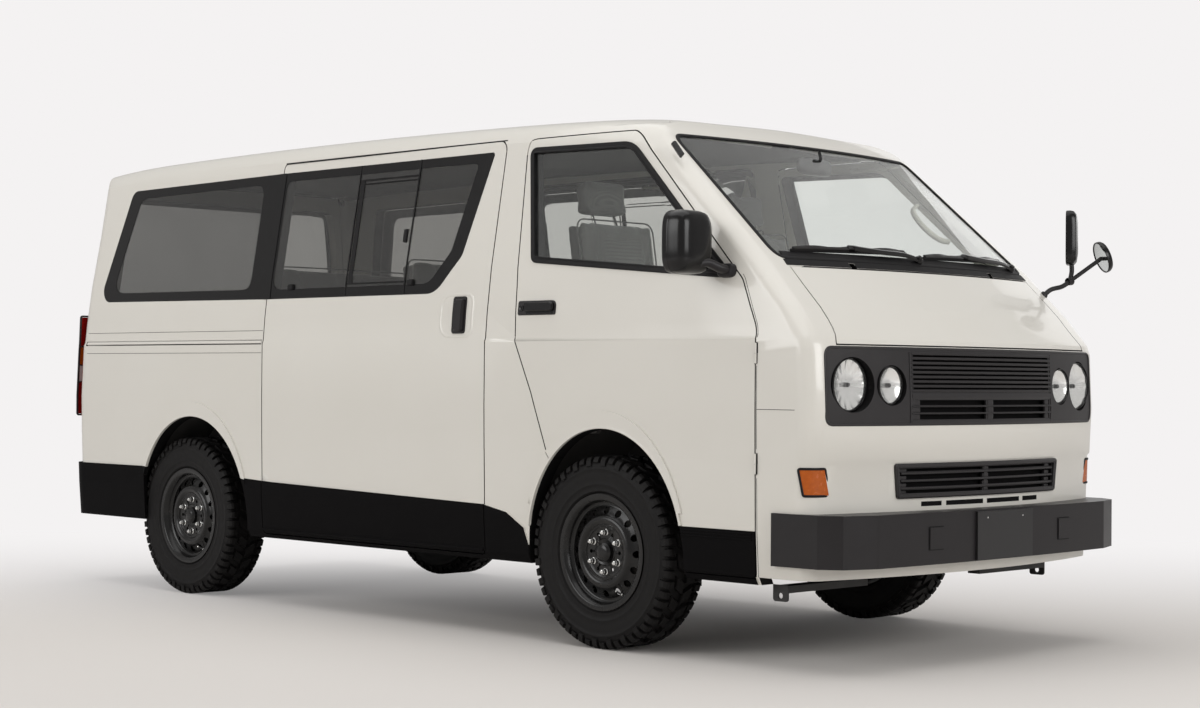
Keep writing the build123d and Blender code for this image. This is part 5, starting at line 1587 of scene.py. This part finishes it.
@dataclass
class Wipers:
    """Two windscreen wipers parked along the foot of the glass."""

    blades: tuple[tuple[Point, Point], ...] = (((-640, 1392), (-60, 1404)), ((20, 1392), (600, 1404)))

    def build(self) -> None:
        """Build arms, yokes and rubbers."""
        arms, rubbers = Shape(), Shape()
        for (y0, z0), (y1, z1) in self.blades:
            def lie(share: float, up: float, out: float) -> Vector:
                """Point along the blade, up the glass and out from it."""
                y, z = y0 + (y1 - y0) * share, z0 + (z1 - z0) * share + up
                return LINES.on_nose(y, z, out)

            out = LINES.nose_normal((y0 + y1) / 2, z0)
            rubbers.sweep([lie(k / 12, 0, 2) for k in range(13)], ridge(5, -1, 2.5, 8), out)
            # The bow along the blade and the three yokes under it: ends, steps, rise, height, bend and width.
            for low, high, steps, up, foot, bend, width in (
                    (0.02, 0.98, 12, 3, 10, 3, 14), (0.05, 0.33, 6, 5, 7, 6, 19),
                    (0.38, 0.62, 6, 5, 7, 6, 19), (0.67, 0.95, 6, 5, 7, 6, 19)):
                bow = [lie(low + (high - low) * k / steps, up, foot + bend * math.sin(math.pi * k / steps))
                       for k in range(steps + 1)]
                arms.sweep(bow, oval(width, 8, 8, 0.6), out)
            pivot = LINES.on_nose(y1 + 30, 1378, 10)
            arm = [pivot, lie(0.92, -15, 17), lie(0.72, -8, 17), lie(0.5, 3, 17)]
            arms.sweep(line_through(arm, 5), [(-11, -3), (11, -3), (9, 5), (0, 8), (-9, 5)], out)
            arms.lathe([(16, -6), (16, 9), (14, 14), (10, 15), (9, 21), (0, 22)],
                       facing(pivot - out * 6 * MM, out), 24)
            arms.block((44, 22, 14), facing(lie(0.5, 4, 14), out), 3)
        arms.piece("wiper_arms", Finishes.GLOSS_BLACK, Body.SHELL, ("wipers",))
        rubbers.piece("wiper_rubbers", Finishes.SEAL_AND_GAP_SHADE)


# ---------------------------------------------------------------- handles and mirrors


def superellipse(a: float, b: float, power: float) -> Callable[[float], float]:
    """Radius by angle of a rounded rectangle with half sizes a and b, squarer for a higher power."""
    def reach(turn: float) -> float:
        """Radius at an angle."""
        c, s = abs(math.cos(turn)) / a, abs(math.sin(turn)) / b
        return (c ** power + s ** power) ** (-1 / power)
    return reach


@dataclass
class Handles:
    """Door handles, keyholes and the sliding door's handle in its pressed dish."""

    front: tuple[float, float, float, float] = (-425, -226, 1187, 1240)
    slide: tuple[float, float, float, float] = (-790, -713, 1123, 1264)
    dish: tuple[float, float, float, float] = (-860, -678, 1113, 1272)

    def build(self) -> None:
        """Build the handles on both sides."""
        for side, tag, door in SIDES:
            plate, grip, lock = self.front_handle(side)
            plate.piece(f"door_handle_base_{tag}", Finishes.MOULDED, door)
            grip.piece(f"door_handle_flap_{tag}", Finishes.GLOSS_BLACK, door)
            lock.piece(f"door_keyhole_{tag}", Finishes.GLOSS_BLACK, door)
            body, pull = self.sliding_handle(side)
            body.piece(f"sliding_handle_dish_{tag}", Finishes.ENAMEL)
            pull.piece(f"sliding_handle_{tag}", Finishes.MOULDED)

    @staticmethod
    def skin(side: int, base: float = 0.0) -> Callable[[float, float, float], Vector]:
        """Surface for plates on a door: a base distance above a line one millimetre inside its skin."""
        return lambda x, z, out: LINES.on_side(x, z, out + base - 1, side)

    def front_handle(self, side: int) -> tuple[Shape, Shape, Shape]:
        """Base plate, lifting flap and keyhole of a front door handle."""
        x0, x1, z0, z1 = self.front
        edge = rounded([(x0, z0, 9), (x1, z0, 9), (x1, z1, 24), (x0, z1, 9)], 12)
        plate = Shape().plate(edge, self.skin(side), 5, 2)
        flap = rounded([(x0 + 42, z0 + 14, 5), (x1 - 7, z0 + 14, 10), (x1 - 7, z1 - 5, 20),
                        (x0 + 42, z1 - 5, 5)], 12)
        grip = Shape().plate(flap, self.skin(side, 3), 14, 4)
        lip = rounded([(x0 + 46, z0 + 3, 4), (x1 - 14, z0 + 3, 6), (x1 - 14, z0 + 11, 3),
                       (x0 + 46, z0 + 11, 3)], 12)
        grip.plate(lip, self.skin(side, 3), 4, 1)
        place = facing(LINES.on_side(x0 + 20, (z0 + z1) / 2, 3, side), LINES.side_normal(z0, side))
        lock = Shape().lathe([(12.5, -2), (12.5, 2.5), (10.5, 4), (9, 3.2), (0, 3.2)], place, 28)
        lock.block((2.2, 9, 1.4), place @ shift(0, 0, 3.6), 0.4, 1)
        return plate, grip, lock

    def sliding_handle(self, side: int) -> tuple[Shape, Shape]:
        """Rolled rim of the dish, and the upright pull with its base."""
        x0, x1, z0, z1 = self.dish
        edge = rounded([(x0, z0, 60), (x1, z0, 40), (x1, z1, 40), (x0, z1, 60)], 12)
        section = [(-9, -1), (9, -1), (5, 0.7), (1, 1.5), (-3, 1.3), (-7, 0.4)]
        dish = Shape().lay(side_loop(edge, 0, side), section, closed=True)
        x0, x1, z0, z1 = self.slide
        pull = Shape().plate(panel((x0, z0), (x1, z1), 14, 12), self.skin(side), 5, 2)
        bar = rounded([(x0 + 26, z0 + 10, 8), (x1 - 7, z0 + 10, 10), (x1 - 7, z1 - 10, 10),
                       (x0 + 26, z1 - 10, 8)], 12)
        pull.plate(bar, self.skin(side, 3), 17, 5)
        pull.plate(panel((x0 + 7, z0 + 22), (x0 + 20, z1 - 22), 6, 12), self.skin(side, 3), 5, 2)
        return dish, pull


@dataclass
class Mirrors:
    """Driver's door mirror on its arm, and the round and square mirrors of the left fender."""

    head: Triple = (522, 942, 1415)
    half_width: float = 83.0
    half_height: float = 107.0
    patch: tuple[Point, ...] = ((472, 1318), (606, 1305), (472, 1421))
    stalk: tuple[Triple, ...] = ((784, 772, 1284), (800, 800, 1310), (818, 848, 1323), (830, 884, 1344))
    square: Triple = (822, 905, 1512)
    round_head: Triple = (924.2, 973.8, 1440.3)

    def build(self) -> None:
        """Build the mirrors."""
        x, y, z = self.head
        head = facing(at(x, -y, z), BACK)
        outline = superellipse(self.half_width, self.half_height, 4.2)
        self.casing(head, outline).piece("door_mirror_casing", Finishes.GLOSS_BLACK, Body.DOOR_RIGHT,
                                         ("door_mirror_right",))
        # Silvered glass, very slightly domed.
        dome = [(0.905, 38), (0.9, 39.6), (0.6, 40.6), (0.3, 41.2), (0.0, 41.4)]
        Shape().lathe(dome, head, 96, outline).piece("door_mirror_glass", Finishes.SILVER, Body.DOOR_RIGHT)
        self.mount().piece("door_mirror_arm", Finishes.MOULDED, Body.DOOR_RIGHT)
        self.blank(1).piece("mirror_blank_cover", Finishes.MOULDED, Body.DOOR_LEFT, ("mirror_blank_left",))
        square = self.framed(self.square, (-0.5, 0.87, 0), (-0.87, -0.5, 0))
        disc = self.framed(self.round_head, (-0.8, 0.6, 0), (-0.55, -0.75, -0.35))
        self.fender(square, disc).piece("fender_mirror_heads", Finishes.GLOSS_BLACK,
                                        replaces=("fender_mirror",))
        self.fender_arms().piece("fender_mirror_arms", Finishes.MOULDED)
        self.fender_glass(square, disc).piece("fender_mirror_glass", Finishes.SILVER)

    @staticmethod
    def framed(origin: Triple, across: Triple, outward: Triple) -> Matrix:
        """Matrix at an origin with local Z outward and local X as near as it can be to across."""
        z = Vector(outward).normalized()
        x = (Vector(across) - z * Vector(across).dot(z)).normalized()
        return Matrix.Translation(at(*origin)) @ Matrix((x, z.cross(x), z)).transposed().to_4x4()

    @staticmethod
    def casing(head: Matrix, outline: Callable[[float], float]) -> Shape:
        """Domed casing with a rolled rim round the glass."""
        dome = [(0.90, 34), (0.91, 43), (0.95, 48), (0.985, 47), (1.0, 42), (1.0, 10), (0.985, -12),
                (0.93, -30), (0.82, -41), (0.62, -47.5), (0.3, -49.5), (0.0, -50)]
        shape = Shape().lathe(dome, head, 96, outline)
        return shape.lathe([(1.001, 22), (1.006, 24), (1.006, 27), (1.001, 29)], head, 96, outline)

    def blank(self, side: int) -> Shape:
        """Cover on the window's front corner."""
        return Shape().plate(rounded([(x, z, 9) for x, z in self.patch], 14),
                             lambda x, z, out: LINES.on_side(x, z, out - 6, side), 13, 4)

    def mount(self) -> Shape:
        """Cover on the right-hand window's front corner and the two-part arm."""
        x, y, z = self.head
        points = [LINES.on_side(588, 1322, 2), at(582, -856, 1330), at(560, -892, 1346),
                  at(x + 22, 18 - y, z - 74)]
        shape = self.blank(-1).sweep(line_through(points, 7), oval(46, 30, 18, 0.75), UP)
        foot = [(1.0, -4), (1.0, 7), (0.9, 12), (0.7, 15), (0.0, 16)]
        return shape.lathe(foot, LINES.side_place(588, 1322, 1, -1), sag=superellipse(40, 24, 3))

    @staticmethod
    def fender(square: Matrix, disc: Matrix) -> Shape:
        """Casings of the two fender mirrors."""
        case = [(0.93, 13), (0.94, 16.5), (0.97, 18), (0.995, 16), (1.0, 12), (1.0, 0), (0.97, -12),
                (0.88, -20), (0.6, -25), (0.0, -26)]
        shape = Shape().lathe(case, square, 96, superellipse(65, 105, 5))
        shape.lathe([(56, 10), (57, 13), (59.5, 14), (61.6, 12.5), (62, 9), (61, 0), (56, -7), (44, -11.5),
                     (22, -13.6), (0, -14)], disc, 64)
        return shape.lathe([(14, -10), (14, -13.8), (9, -14)], disc, 32)

    @staticmethod
    def fender_glass(square: Matrix, disc: Matrix) -> Shape:
        """Glass of the two fender mirrors."""
        shape = Shape().lathe([(0.935, 13.5), (0.93, 14.2), (0.5, 15), (0, 15.3)], square, 96,
                              superellipse(65, 105, 5))
        return shape.lathe([(57, 10.5), (56.5, 11.2), (30, 13.0), (0, 13.6)], disc, 64)

    def fender_arms(self) -> Shape:
        """Painted steel stalk, its clamps and the foot on the wing."""
        line = [at(*p) for p in self.stalk]
        x, y, z = self.square
        shape = Shape().tube(line, 9, 16)
        shape.tube([line[-1], at(x + 6, y - 4, z - 130), at(x + 2, y, z - 96)], 9, 14)
        shape.tube([line[-1], line[-1].lerp(at(*self.round_head), 0.93)], 8, 14)
        shape.lathe([(13, -13), (15, -10), (15, 10), (13, 13), (7, 14.5), (7, 18), (0, 18.5)],
                    facing(line[-1], Vector((0.2, 1, 0.1))), 24)
        return shape.lathe([(15, -18), (15, 6), (13, 11), (11, 16), (9.5, 17)],
                           facing(line[0], Vector((0.35, 0.35, 0.87))), 32)


# ---------------------------------------------------------------- tail


@dataclass
class TailEnd:
    """Tail lamps, tailgate handle, blank plate with its surround, rear wiper and the bumper's step."""

    lamp_y: tuple[float, float] = (742, 822)
    sections: tuple[tuple[str, float, float, Finish], ...] = (
        ("stop", 1090, 1224, Finishes.RED), ("turn", 1004, 1084, Finishes.AMBER),
        ("reverse", 926, 998, Finishes.FROST), ("reflector", 774, 920, Finishes.RED))
    plate: Triple = (330, 165, 962)

    def build(self) -> None:
        """Build the tail's parts."""
        for name, low, high, finish in self.sections:
            self.lens(low, high).mirrored().piece(f"tail_lamp_{name}", finish)
        self.bezel().mirrored().piece("tail_lamp_bezels", Finishes.SATIN)
        self.garnish().piece("tailgate_garnish", Finishes.MOULDED, Body.TAILGATE)
        self.handle().piece("tailgate_handle", Finishes.GLOSS_BLACK, Body.TAILGATE)
        self.rear_plate().piece("rear_plate_blank", Finishes.PLATE, Body.TAILGATE)
        self.wiper().piece("rear_wiper", Finishes.GLOSS_BLACK, Body.TAILGATE)
        self.step().piece("rear_bumper_step", Finishes.MOULDED)

    @staticmethod
    def lay(y: float, z: float, out: float) -> Vector:
        """Point on the tail, out behind its skin."""
        return at(LINES.tail(y, z) - out, y, z)

    def border(self, edge: Sequence[Point], section: Sequence[Point], out: float = 0.0) -> Shape:
        """Moulding round a closed outline on the tail."""
        return Shape().sweep([self.lay(y, z, out) for y, z in edge], section, BACK, closed=True)

    def lens(self, low: float, high: float) -> Shape:
        """One ribbed lens of the right-hand lamp."""
        y0, y1 = self.lamp_y
        shape = Shape().plate(panel((-y1, low), (-y0, high), 7), self.lay, 6, 2.5)
        count = int((high - low) / 17)
        for k in range(count):
            z = low + (k + 0.5) * (high - low) / count
            path = [self.lay(y, z, 5.4) for y, _ in run((-y0 - 6, z), (-y1 + 6, z), 6)]
            shape.sweep(path, crowned(5, 1.4, 0.5), BACK)
        return shape

    def bezel(self) -> Shape:
        """Frame round the right-hand lamp with bars between its lenses."""
        y0, y1 = self.lamp_y
        low, high = self.sections[-1][1] - 5, self.sections[0][2] + 5
        shape = self.border(panel((-y1 - 4, low), (-y0 + 5, high), 10, 20), crowned(8, 4.6, 1.5))
        for (_, z0, _, _), (_, _, z1, _) in zip(self.sections, self.sections[1:]):
            z = (z0 + z1) / 2
            shape.sweep([self.lay(y, z, 0) for y, _ in run((-y0, z), (-y1, z), 4)], crowned(6, 5, 1), BACK)
        return shape

    def garnish(self) -> Shape:
        """Moulded surround of the rear plate with a hood that holds its lamps."""
        wide, tall, z = self.plate
        half, low, high = wide / 2 + 26, z - tall / 2, z + tall / 2
        shape = self.border(inset(panel((-half, low - 20), (half, high + 30), 22, 24), 7), crowned(16, 7, 3))
        hood = rounded([(-half + 10, high + 3, 8), (half - 10, high + 3, 8), (half - 10, high + 40, 14),
                        (10 - half, high + 40, 14)], 24)
        shape.plate(hood, self.lay, 15, 6)
        for y in (-90, 90):
            shape.block((46, 12, 8), facing(self.lay(y, high - 2, 8), BACK))
        return shape

    def handle(self) -> Shape:
        """Tailgate handle and keyhole cover above the plate's hood."""
        z = self.plate[2] + self.plate[1] / 2 + 78
        shape = Shape().plate(panel((-105, z - 22), (105, z + 22), 10, 16), self.lay, 5, 2)
        grip = panel((-92, z - 16), (62, z + 12), 8, 16)
        shape.plate(grip, lambda a, b, out: self.lay(a, b, out + 4), 14, 5)
        return shape.lathe([(12, -2), (12, 3), (10, 4.5), (0, 4)], facing(self.lay(84, z, 4), BACK), 28)

    def rear_plate(self) -> Shape:
        """Blank rear plate with a raised border."""
        wide, tall, z = self.plate
        edge = panel((-wide / 2, z - tall / 2), (wide / 2, z + tall / 2), 10, 40)
        shape = self.border(inset(edge, 7), crowned(4, 1.3, 0.5), 2.6)
        return shape.plate(edge, self.lay, 3, 0.8)

    def wiper(self) -> Shape:
        """Rear wiper parked along the foot of the glass."""
        out = Vector((-1, 0, 0.05))
        pivot = self.lay(-40, 1262, 6)
        shape = Shape().lathe([(20, -6), (20, 6), (16, 12), (9, 14), (0, 15)], facing(pivot, out), 28)
        arm = [pivot + out * 8 * MM, self.lay(90, 1290, 19), self.lay(180, 1320, 17)]
        shape.sweep(line_through(arm), oval(12, 6, 10, 0.7), out)
        start, tip = self.lay(30, 1316, 9), self.lay(330, 1322, 11)
        line = [start.lerp(tip, k / 10) for k in range(11)]
        shape.sweep(line, ridge(3.5, -4, 2.5, 5), out)
        return shape.sweep(line, oval(9, 4, 10, 0.7), out)

    def step(self) -> Shape:
        """Five ribs of the tread pad on the rear bumper."""
        shape = Shape()
        for k in range(5):
            x = -3474 - 5.2 * k
            path = [at(x + LINES.tail_bow * y * y, y, 549) for y in range(-520, 521, 80)]
            shape.sweep(path, crowned(2.6, 1.8, 0.6), UP)
        return shape


# ---------------------------------------------------------------- cabin


@dataclass
class Cushion:
    """A foam pad in a sewn cover, swollen by cloth simulation from a slightly small block."""

    size: tuple[float, float, float]
    edge: float = 34.0
    waist: float = 0.05
    voxel: float = 14.0
    cap: float = 20.0
    pressure: float = 4.0
    channels: int = 2
    frames: int = 20

    def block(self) -> bpy.types.Object:
        """Soft block whose sides pull in between its corners, as an object in local metres."""
        length, width, height = self.size
        mesh = bmesh.new()
        bmesh.ops.create_cube(mesh, size=1.0)
        bmesh.ops.subdivide_edges(mesh, edges=list(mesh.edges), cuts=5, use_grid_fill=True)
        for vert in mesh.verts:
            u, v, w = vert.co * 2
            pull = 1 - self.waist * (1 - w * w)
            vert.co = Vector((u * length / 2 * (pull - self.waist * (1 - v * v) * 0.4),
                              v * width / 2 * (pull - self.waist * (1 - u * u) * 0.4), w * height / 2)) * MM
        outer = [e for e in mesh.edges if len(e.link_faces) == 2 and e.calc_face_angle(0) > 0.9]
        bmesh.ops.bevel(mesh, geom=outer, offset=self.edge * MM, segments=3, profile=0.6, affect="EDGES",
                        clamp_overlap=True)
        data = bpy.data.meshes.new("pad_block")
        mesh.to_mesh(data)
        mesh.free()
        made = bpy.data.objects.new("pad_block", data)
        bpy.context.scene.collection.objects.link(made)
        return made

    def mesh(self) -> bpy.types.Mesh:
        """Finished pad in local metres: remeshed, swollen, limited in how far it moved, and subdivided."""
        made = self.block()
        scene = bpy.context.scene
        remesh = made.modifiers.new("even_cloth", "REMESH")
        remesh.mode = "VOXEL"
        remesh.voxel_size = self.voxel * MM
        self.apply(made)
        before = [vert.co.copy() for vert in made.data.vertices]
        cloth = made.modifiers.new("sewn_cover", "CLOTH")
        cloth.settings.use_pressure = True
        cloth.settings.uniform_pressure_force = self.pressure
        cloth.settings.effector_weights.gravity = 0.0
        cloth.settings.tension_stiffness = 30
        cloth.point_cache.frame_start, cloth.point_cache.frame_end = 1, self.frames
        for step in range(1, self.frames + 1):
            scene.frame_set(step)
        self.apply(made)
        scene.frame_set(1)
        for vert, old in zip(made.data.vertices, before):
            move = vert.co - old
            if move.length > self.cap * MM:
                move = move.normalized() * self.cap * MM
            if vert.co.z > 0 and abs(vert.co.y) < self.size[1] * 0.49:
                move -= Vector((0, 0, self.channel(old.y / MM) * MM))
            vert.co = old + move
        finer = made.modifiers.new("finer", "SUBSURF")
        finer.levels = finer.render_levels = 1
        self.apply(made)
        data = made.data
        bpy.data.objects.remove(made)
        return data

    def channel(self, across: float) -> float:
        """Depth of the sewn channels, that run front to back, at a distance from the middle."""
        depth = 0.0
        for k in range(self.channels):
            line = self.size[1] * (0.29 if self.channels == 2 else 0.36) * (1 if k % 2 else -1)
            if k > 1:
                line *= 0.42
            depth = max(depth, 9 * math.exp(-((across - line) / 9) ** 2))
        return depth

    @staticmethod
    def apply(made: bpy.types.Object) -> None:
        """Bake the object's modifiers into its mesh."""
        graph = bpy.context.evaluated_depsgraph_get()
        baked = bpy.data.meshes.new_from_object(made.evaluated_get(graph))
        made.modifiers.clear()
        made.data = baked

    def seam(self, place: Matrix) -> Shape:
        """Piping sewn round the top edge of the cover."""
        length, width, height = self.size
        a, b = length / 2 - 10, width / 2 - 10
        path = [place @ (Vector((x, y, height * 0.36)) * MM) for x, y in panel((-a, -b), (a, b), 46, 24)]
        return Shape().sweep(path, oval(6, 6, 8), place.to_3x3() @ UP, True)


@dataclass
class Cabin:
    """Seats, steering wheel, dashboard fittings, door trims and roof fittings."""

    seat_y: float = 405.0
    base: float = 880.0
    benches: tuple[float, float] = (-980.0, -1900.0)
    wheel_centre: Triple = (505, -395, 1205)
    wheel_tilt: float = 38.0
    wheel_radius: float = 190.0

    def build(self) -> None:
        """Build the cabin."""
        self.front_seats()
        self.rear_seats()
        self.wheel().piece("steering_wheel_rim", Finishes.DASH, Body.STEERING, ("steering_wheel",))
        self.column().piece("column_stalks", Finishes.SATIN)
        self.instruments().piece("instrument_hood", Finishes.DASH)
        self.centre().piece("centre_panel", Finishes.SATIN)
        self.vents().piece("dash_vents", Finishes.GLOSS_BLACK)
        for side, tag, door in SIDES:
            self.door_trim(side).piece(f"door_trim_{tag}", Finishes.DASH, door)
            self.door_winder(side).piece(f"door_winder_{tag}", Finishes.GLOSS_BLACK, door)
        self.visors().mirrored().piece("sun_visors", Finishes.HEADLINER)
        self.grips().mirrored().piece("grab_handles", Finishes.TRIM)
        self.inner_mirror().piece("inner_mirror", Finishes.GLOSS_BLACK)

    @staticmethod
    def lean(x: float, y: float, z: float, degrees: float) -> Matrix:
        """Place at a point with local Z turned forward from up by the given angle about the Y axis."""
        return Matrix.Translation(at(x, y, z)) @ Matrix.Rotation(math.radians(degrees), 4, "Y")

    def pad(self, name: str, cushion: Cushion, data: bpy.types.Mesh, place: Matrix,
            replaces: Sequence[str] = ()) -> None:
        """Place one finished pad with its piping."""
        mesh = data.copy()
        mesh.name = name
        mesh.transform(place)
        made = settle(name, mesh, Finishes.CLOTH, Body.SHELL, replaces, 70)
        cushion.seam(place).piece(f"{name}_piping", Finishes.DASH)

    def front_seats(self) -> None:
        """Two front seats: cushion, back and head restraint each, with their hinges and posts."""
        cushion, back, rest = (Cushion((455, 440, 96)), Cushion((545, 430, 84)),
                               Cushion((124, 214, 66), 26, 0.04, 10.0, 10.0, 4.0, 0))
        meshes = [part.mesh() for part in (cushion, back, rest)]
        cover_outline = rounded([(x, self.base + z, radius) for x, z, radius in (
            (-372, 2, 12), (96, 2, 12), (80, 44, 20), (-250, 58, 30), (-282, 150, 22), (-360, 150, 22))], 30)
        for side, tag in ((-1, "right"), (1, "left")):
            y = side * self.seat_y
            names = ("seats",) if side < 0 else ()
            self.pad(f"seat_cushion_{tag}", cushion, meshes[0], self.lean(-100, y, self.base + 62, -1.5),
                     names)
            self.pad(f"seat_back_{tag}", back, meshes[1], self.lean(-338, y, 1290, 80.6))
            self.pad(f"head_restraint_{tag}", rest, meshes[2], self.lean(-425, y, 1642, 82))
            posts, base = Shape(), Shape()
            for out in (-1, 1):
                posts.tube([at(-398, y + 58 * out, 1540), at(-424, y + 58 * out, 1600)], 6)
                base.plate(cover_outline, lambda a, b, h: at(a, y + out * (232 + h - 6), b), 12, 3)
            posts.piece(f"restraint_posts_{tag}", Finishes.CHROME)
            base.block((420, 400, 22), Matrix.Translation(at(-110, y, self.base + 12)), 4)
            base.piece(f"seat_side_covers_{tag}", Finishes.DASH)

    def rear_seats(self) -> None:
        """Two three-seat benches on steel legs."""
        cushion, back = Cushion((455, 1030, 96), channels=4), Cushion((490, 1030, 84), channels=4)
        meshes = [cushion.mesh(), back.mesh()]
        for x, tag in zip(self.benches, ("middle", "rear")):
            self.pad(f"bench_cushion_{tag}", cushion, meshes[0], self.lean(x - 230, 0, 878, -1.5))
            self.pad(f"bench_back_{tag}", back, meshes[1], self.lean(x - 462, 0, 1206, 80))
            legs = Shape()
            for y in (-430, -150, 150, 430):
                for dx in (-80, -410):
                    legs.tube([at(x + dx, y, 554), at(x + dx, y, 812)], 14, 14)
                legs.block((400, 34, 10), Matrix.Translation(at(x - 245, y, 556)), 3)
            for dx in (-80, -410):
                legs.tube([at(x + dx, -480, 812), at(x + dx, 480, 812)], 15, 14)
            legs.block((440, 1000, 14), Matrix.Translation(at(x - 235, 0, 826)), 4)
            legs.piece(f"bench_legs_{tag}", Finishes.CHASSIS)

    def hub(self, out: float = 0.0) -> Matrix:
        """Place on the steering axis, local Z towards the driver."""
        tilt = math.radians(self.wheel_tilt)
        axis = Vector((-math.sin(tilt), 0, math.cos(tilt)))
        return facing(at(*self.wheel_centre) + axis * out * MM, axis, AHEAD)

    def wheel(self) -> Shape:
        """Rim with finger grips, hub pad, three spokes and the shaft's collar."""
        place = self.hub()
        turns = [2 * math.pi * k / 16 for k in range(17)]
        ring = [(self.wheel_radius + 15 * math.cos(turn), 13.5 * math.sin(turn)) for turn in turns]
        shape = Shape().lathe(ring, place, 96, lambda turn: 1 + 0.004 * math.sin(turn * 32))
        pad = [(0.86, -24), (1.0, -14), (1.0, 4), (0.93, 10), (0.8, 12.5), (0.78, 11), (0.5, 12.5), (0, 13)]
        shape.lathe(pad, place @ shift(0, 0, -3), 72, superellipse(66, 58, 3.2))
        for turn in (0, math.pi, math.pi / 2):
            shape.block((136, 34, 12), place @ Matrix.Rotation(turn, 4, "Z") @ shift(118, 0, -7), 5, 3, 0.9)
        return shape.lathe([(14, -60), (14, -26), (30, -24)], place, 32)

    def column(self) -> Shape:
        """Shroud with two stalks."""
        place = self.hub(-62)
        shape = Shape().lathe([(0, 0), (40, 0), (44, -6), (46, -90), (40, -150), (20, -160)], place)
        for side in (-1, 1):
            start = place @ (Vector((0, side * 40, -26)) * MM)
            end = place @ (Vector((10, side * 168, -8)) * MM)
            shape.tube([start, start.lerp(end, 0.5), end], 6.5)
        return shape

    def instruments(self) -> Shape:
        """Hood over the instruments, and the rolled front edge of the dashboard."""
        hood = [at(x, -395, z) for x, z in ((700, 1290), (668, 1306), (628, 1312))]
        shape = Shape().sweep(hood, [(-190, -6), (190, -6), (186, 22), (165, 34), (-165, 34), (-186, 22)], UP)
        edge = [at(636, y, z) for y, z in run((-735, 1262), (735, 1262), 20)]
        return shape.sweep(edge, oval(16, 22, 10), UP)

    def centre(self) -> Shape:
        """Centre panel with a blank radio face, knobs and the glove-box lid."""
        shape = Shape()
        slope = facing(at(642, -60, 1150), Vector((-1, 0, 0.3)))
        shape.block((250, 190, 16), slope, 5, 3)
        for rise, tall in ((52, 52), (-10, 30)):
            shape.block((200, tall, 10), slope @ shift(0, rise, 9), 3)
        for across in (-66, 0, 66):
            shape.lathe([(17, 6), (16, 20), (13, 23), (0, 23)], slope @ shift(across, -62, 0), 28)
        lid = facing(at(646, 420, 1120), Vector((-1, 0, 0.34)))
        return shape.block((420, 150, 14), lid, 6, 3)

    def vents(self) -> Shape:
        """Louvred outlets on the dashboard's face and demister slots on its top."""
        shape = Shape()
        for y in (-680, -170, 60, 680):
            place = facing(at(633, y, 1232), Vector((-1, 0, 0.12)))
            shape.block((92, 50, 10), place, 3)
            for k in range(4):
                shape.block((80, 4, 12), place @ shift(0, -16 + 11 * k, 2), 1)
        for y, z in run((-500, 1281), (500, 1281), 23):
            shape.block((10, 30, 3), Matrix.Translation(at(815, y, z)), 1, 1)
        return shape

    def door_trim(self, side: int) -> Shape:
        """Armrest, pull and map pocket of one front door."""
        def lay(x: float, z: float, out: float) -> Vector:
            """Point on the inside of the door, out towards the cabin."""
            return at(x, side * (LINES.half(z) - 58 - out), z)

        rest = rounded([(-330, 1080, 20), (240, 1080, 20), (260, 1136, 24), (-330, 1150, 24)], 40)
        pocket = rounded([(-300, 760, 20), (-60, 760, 20), (-40, 860, 20), (-300, 880, 20)], 40)
        return Shape().plate(rest, lay, 52, 14).plate(pocket, lay, 30, 8)

    def door_winder(self, side: int) -> Shape:
        """Window winder and inner door handle."""
        def spot(x: float, z: float) -> Matrix:
            """Place on the inside of the door."""
            return facing(at(x, side * (LINES.half(z) - 60), z), Vector((0, -side, 0)))

        hub = spot(60, 1010)
        shape = Shape().lathe([(22, -4), (22, 12), (16, 18), (0, 19)], hub, 28)
        shape.tube([hub @ (Vector((0, 0, 14)) * MM), hub @ (Vector((70, -50, 20)) * MM)], 7)
        shape.lathe([(12, 16), (13, 40), (9, 44), (0, 44)], hub @ shift(70, -50, 0), 20)
        return shape.block((110, 44, 14), spot(280, 1160), 5, 3)

    def visors(self) -> Shape:
        """Right-hand sun visor, folded up against the roof."""
        return Shape().block((150, 400, 20), self.lean(122, -330, 1838, 12), 9, 4)

    def grips(self) -> Shape:
        """Right-hand grab handles above the doors and on the windscreen pillar."""
        shape = Shape()
        y = 66 - LINES.half(1800)
        for x in (60, -1100, -2300):
            line = [at(x + dx, y + dy, z) for dx, dy, z in
                    ((-110, 0, 1812), (-96, 34, 1800), (0, 42, 1796), (96, 34, 1800), (110, 0, 1812))]
            shape.sweep(line_through(line), oval(20, 12, 12, 0.8), UP)
        line = [at(*spot) for spot in ((402, -692, 1500), (384, -640, 1512), (325, -618, 1566),
                                       (272, -632, 1622), (252, -684, 1648))]
        return shape.sweep(line_through(line), oval(22, 16, 12, 0.8), Vector((0, 1, 0)))

    def inner_mirror(self) -> Shape:
        """Inner mirror on its stem at the top of the windscreen."""
        place = facing(at(286, 0, 1748), Vector((-1, -0.15, -0.05)))
        outline = superellipse(112, 32, 4)
        case = [(0.95, 8), (0.99, 9), (1, 6), (1, -6), (0.93, -14), (0.7, -18), (0, -19)]
        shape = Shape().lathe(case, place, 72, outline)
        shape.lathe([(0.955, 7), (0.95, 7.6), (0, 8)], place, 72, outline)
        return shape.tube([at(300, 0, 1752), at(318, 0, 1775), at(312, 0, 1806)], 6)


def main() -> None:
    """Build the studio and the van's looks, piece by piece."""
    logging.basicConfig(level=logging.INFO, format="%(message)s")
    Studio().build()
    Bodywork().dress()
    for part in (Windows, Mouldings, Wheels, LampBank, NoseTrim, Wipers, Handles, Mirrors, TailEnd, Cabin):
        part().build()
    Carried().dress()


if __name__ == "__main__":
    main()
